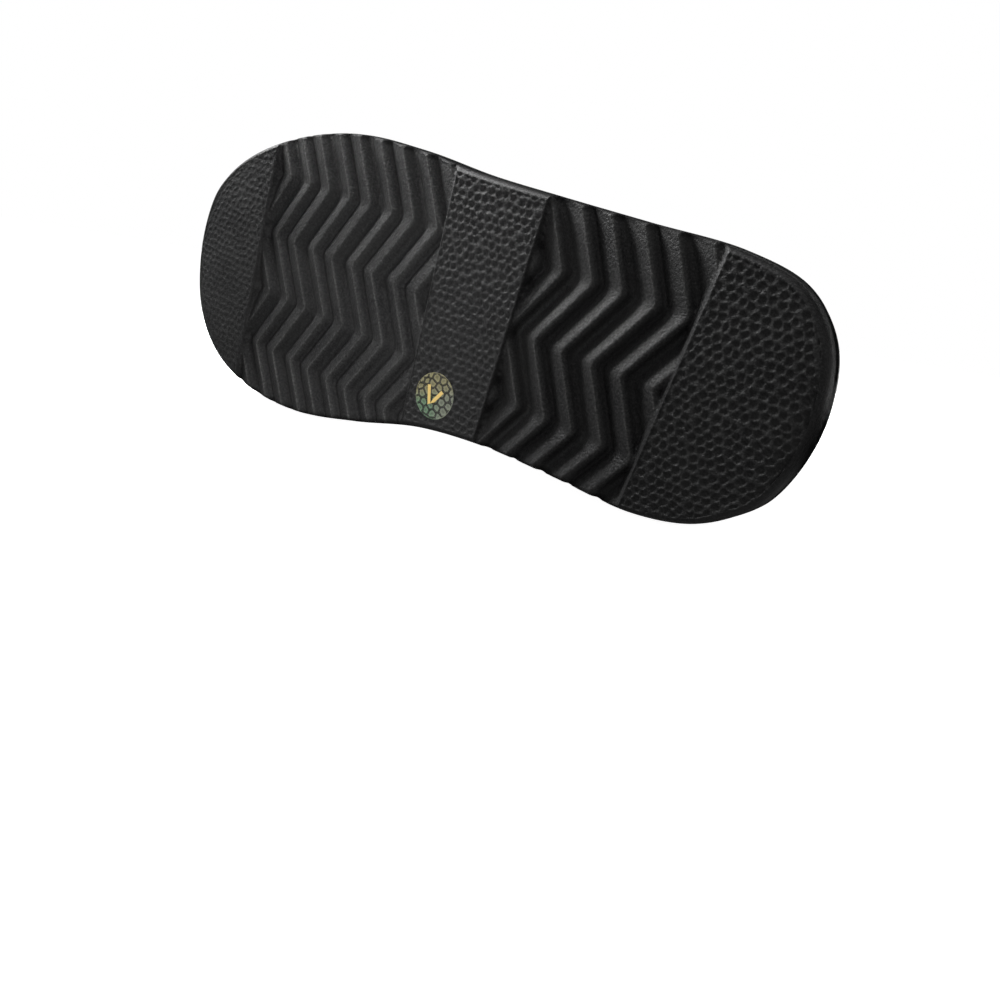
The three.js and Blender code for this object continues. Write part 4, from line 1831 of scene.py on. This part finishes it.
@dataclass
class Studio:
    """Camera, pale floor and soft lights."""

    eye: Point = (-14.29, 38.1, -199.79)
    right: Point = (-0.79858, 0.30506, 0.51886)
    picture_up: Point = (0.43496, 0.88834, 0.14715)
    lens: float = 24.48
    sensor: float = 36.0
    clip: Span = (0.005, 60.0)
    floor_rings: tuple[float, ...] = (0.0, 1.0, 8.0, 30.0)
    floor_spokes: int = 64
    floor_tones: tuple[Colour, Colour] = ((0.86, 0.86, 0.86), (0.9, 0.9, 0.9))
    floor_mottle: float = 3.0
    floor_detail: float = 2.0
    floor_glow: float = 0.97
    floor_roughness: float = 0.9
    floor_specular: float = 0.1
    ambient: float = 0.22
    lamp_up: Point = (0.0, 1.0, 0.2)
    lamps: tuple[Lamp, ...] = (
        Lamp("key", (571, 359, -42), (80, 15, 0), 0.2, 7.0),
        Lamp("near_key", (325, 187, -21), (80, 15, 0), 0.1, 0.28),
        Lamp("waist_fill", (150, -20, -90), (225, 0, 0), 0.12, 0.055),
        Lamp("heel_fill", (-77, 552, -165), (120, 10, 0), 0.25, 0.2),
        Lamp("side_fill", (180, 380, -60), (180, 0, 0), 0.2, 0.37),
        Lamp("back_fill", (120, 150, 900), (120, 0, 60), 0.6, 4.0),
    )

    @staticmethod
    def put(name: str, data: bpy.types.ID, axes: Sequence[Array], at: Array) -> Object:
        """Adds a camera or a lamp.

        Args:
            name: Object name.
            data: The camera or lamp.
            axes: Its own three axes in the row frame.
            at: Its place there.

        Returns:
            The object.
        """
        matrix = np.eye(4)
        matrix[:3] = np.column_stack([*axes, at])
        made = bpy.data.objects.new(name, data)
        made.matrix_world = Matrix(matrix.tolist())
        bpy.context.scene.collection.objects.link(made)
        return made

    def camera(self) -> None:
        """Places the camera at the photograph's angle to the tread."""
        data = bpy.data.cameras.new("camera")
        data.lens = self.lens
        data.sensor_width = self.sensor
        data.clip_start, data.clip_end = self.clip
        right = STANDING.turn(self.right)
        back = np.cross(right, STANDING.turn(self.picture_up))
        axes = (unit(right), unit(np.cross(back, right)), unit(back))
        bpy.context.scene.camera = self.put("camera", data, axes, STANDING.place(self.eye))

    def floor(self) -> None:
        """Makes a wide round floor, pale with a faint mottling."""
        made, graph, shader = start_material("pale_floor")
        mottle = graph.noise(graph.place(), self.floor_mottle, self.floor_detail)
        graph.fill(
            shader,
            Base_Color=graph.mix(mottle, *self.floor_tones),
            Emission_Color=WHITE,
            Emission_Strength=self.floor_glow,
            Roughness=self.floor_roughness,
            Specular_IOR_Level=self.floor_specular,
        )
        r = np.array(self.floor_rings)[:, None]
        a = np.linspace(0, 2 * np.pi, self.floor_spokes, endpoint=False)[None, :]
        grid = np.stack([r * np.cos(a), r * np.sin(a), np.zeros((len(r), a.size))], axis=-1)
        faces = quads(len(r), self.floor_spokes, closed=True)
        mesh = bpy.data.meshes.new("floor")
        mesh.from_pydata(grid.reshape(-1, 3).tolist(), [], faces.tolist())
        mesh.materials.append(made)
        floor = bpy.data.objects.new("floor", mesh)
        floor.visible_diffuse = False
        floor.visible_glossy = False
        bpy.context.scene.collection.objects.link(floor)

    def light(self, lamp: Lamp) -> None:
        """Adds a soft square lamp.

        Args:
            lamp: Its place, aim, size and power.
        """
        data = bpy.data.lights.new(lamp.name, "AREA")
        data.size = lamp.size
        data.energy = lamp.power
        at = STANDING.place(lamp.at)
        out = unit(at - STANDING.place(lamp.aim))
        side = unit(np.cross(self.lamp_up, out))
        self.put(lamp.name, data, (side, np.cross(out, side), out), at).visible_camera = False

    def world(self) -> None:
        """Makes surroundings that are pale to the eye and give only a weak even light."""
        world = bpy.data.worlds.new("surroundings")
        world.use_nodes = True
        graph = Graph(world.node_tree)
        dim = graph.fill(world.node_tree.nodes["Background"], Color=WHITE, Strength=self.ambient)
        pale = graph.add("ShaderNodeBackground", Color=WHITE, Strength=1.0)
        seen = graph.add("ShaderNodeLightPath").outputs["Is Camera Ray"]
        choice = graph.add("ShaderNodeMixShader")
        for socket, source in zip(choice.inputs, (seen, dim.outputs[0], pale.outputs[0])):
            graph.feed(socket, source)
        graph.fill(world.node_tree.nodes["World Output"], Surface=choice.outputs[0])
        bpy.context.scene.world = world

    def build(self) -> None:
        """Sets up the whole studio."""
        self.camera()
        self.floor()
        self.world()
        for lamp in self.lamps:
            self.light(lamp)
        bpy.context.scene.view_settings.view_transform = "Standard"


def main() -> None:
    """Builds the boot piece by piece in the studio."""
    logging.basicConfig(level=logging.INFO, format="%(message)s")
    Studio().build()
    for part in (Outsole(SOLE), Upper(UpperForm(SOLE)), Insole(SOLE), Film(SOLE)):
        for piece in part.build():
            LOG.info("%s: %d faces", piece.name, len(piece.data.polygons))


if __name__ == "__main__":
    main()
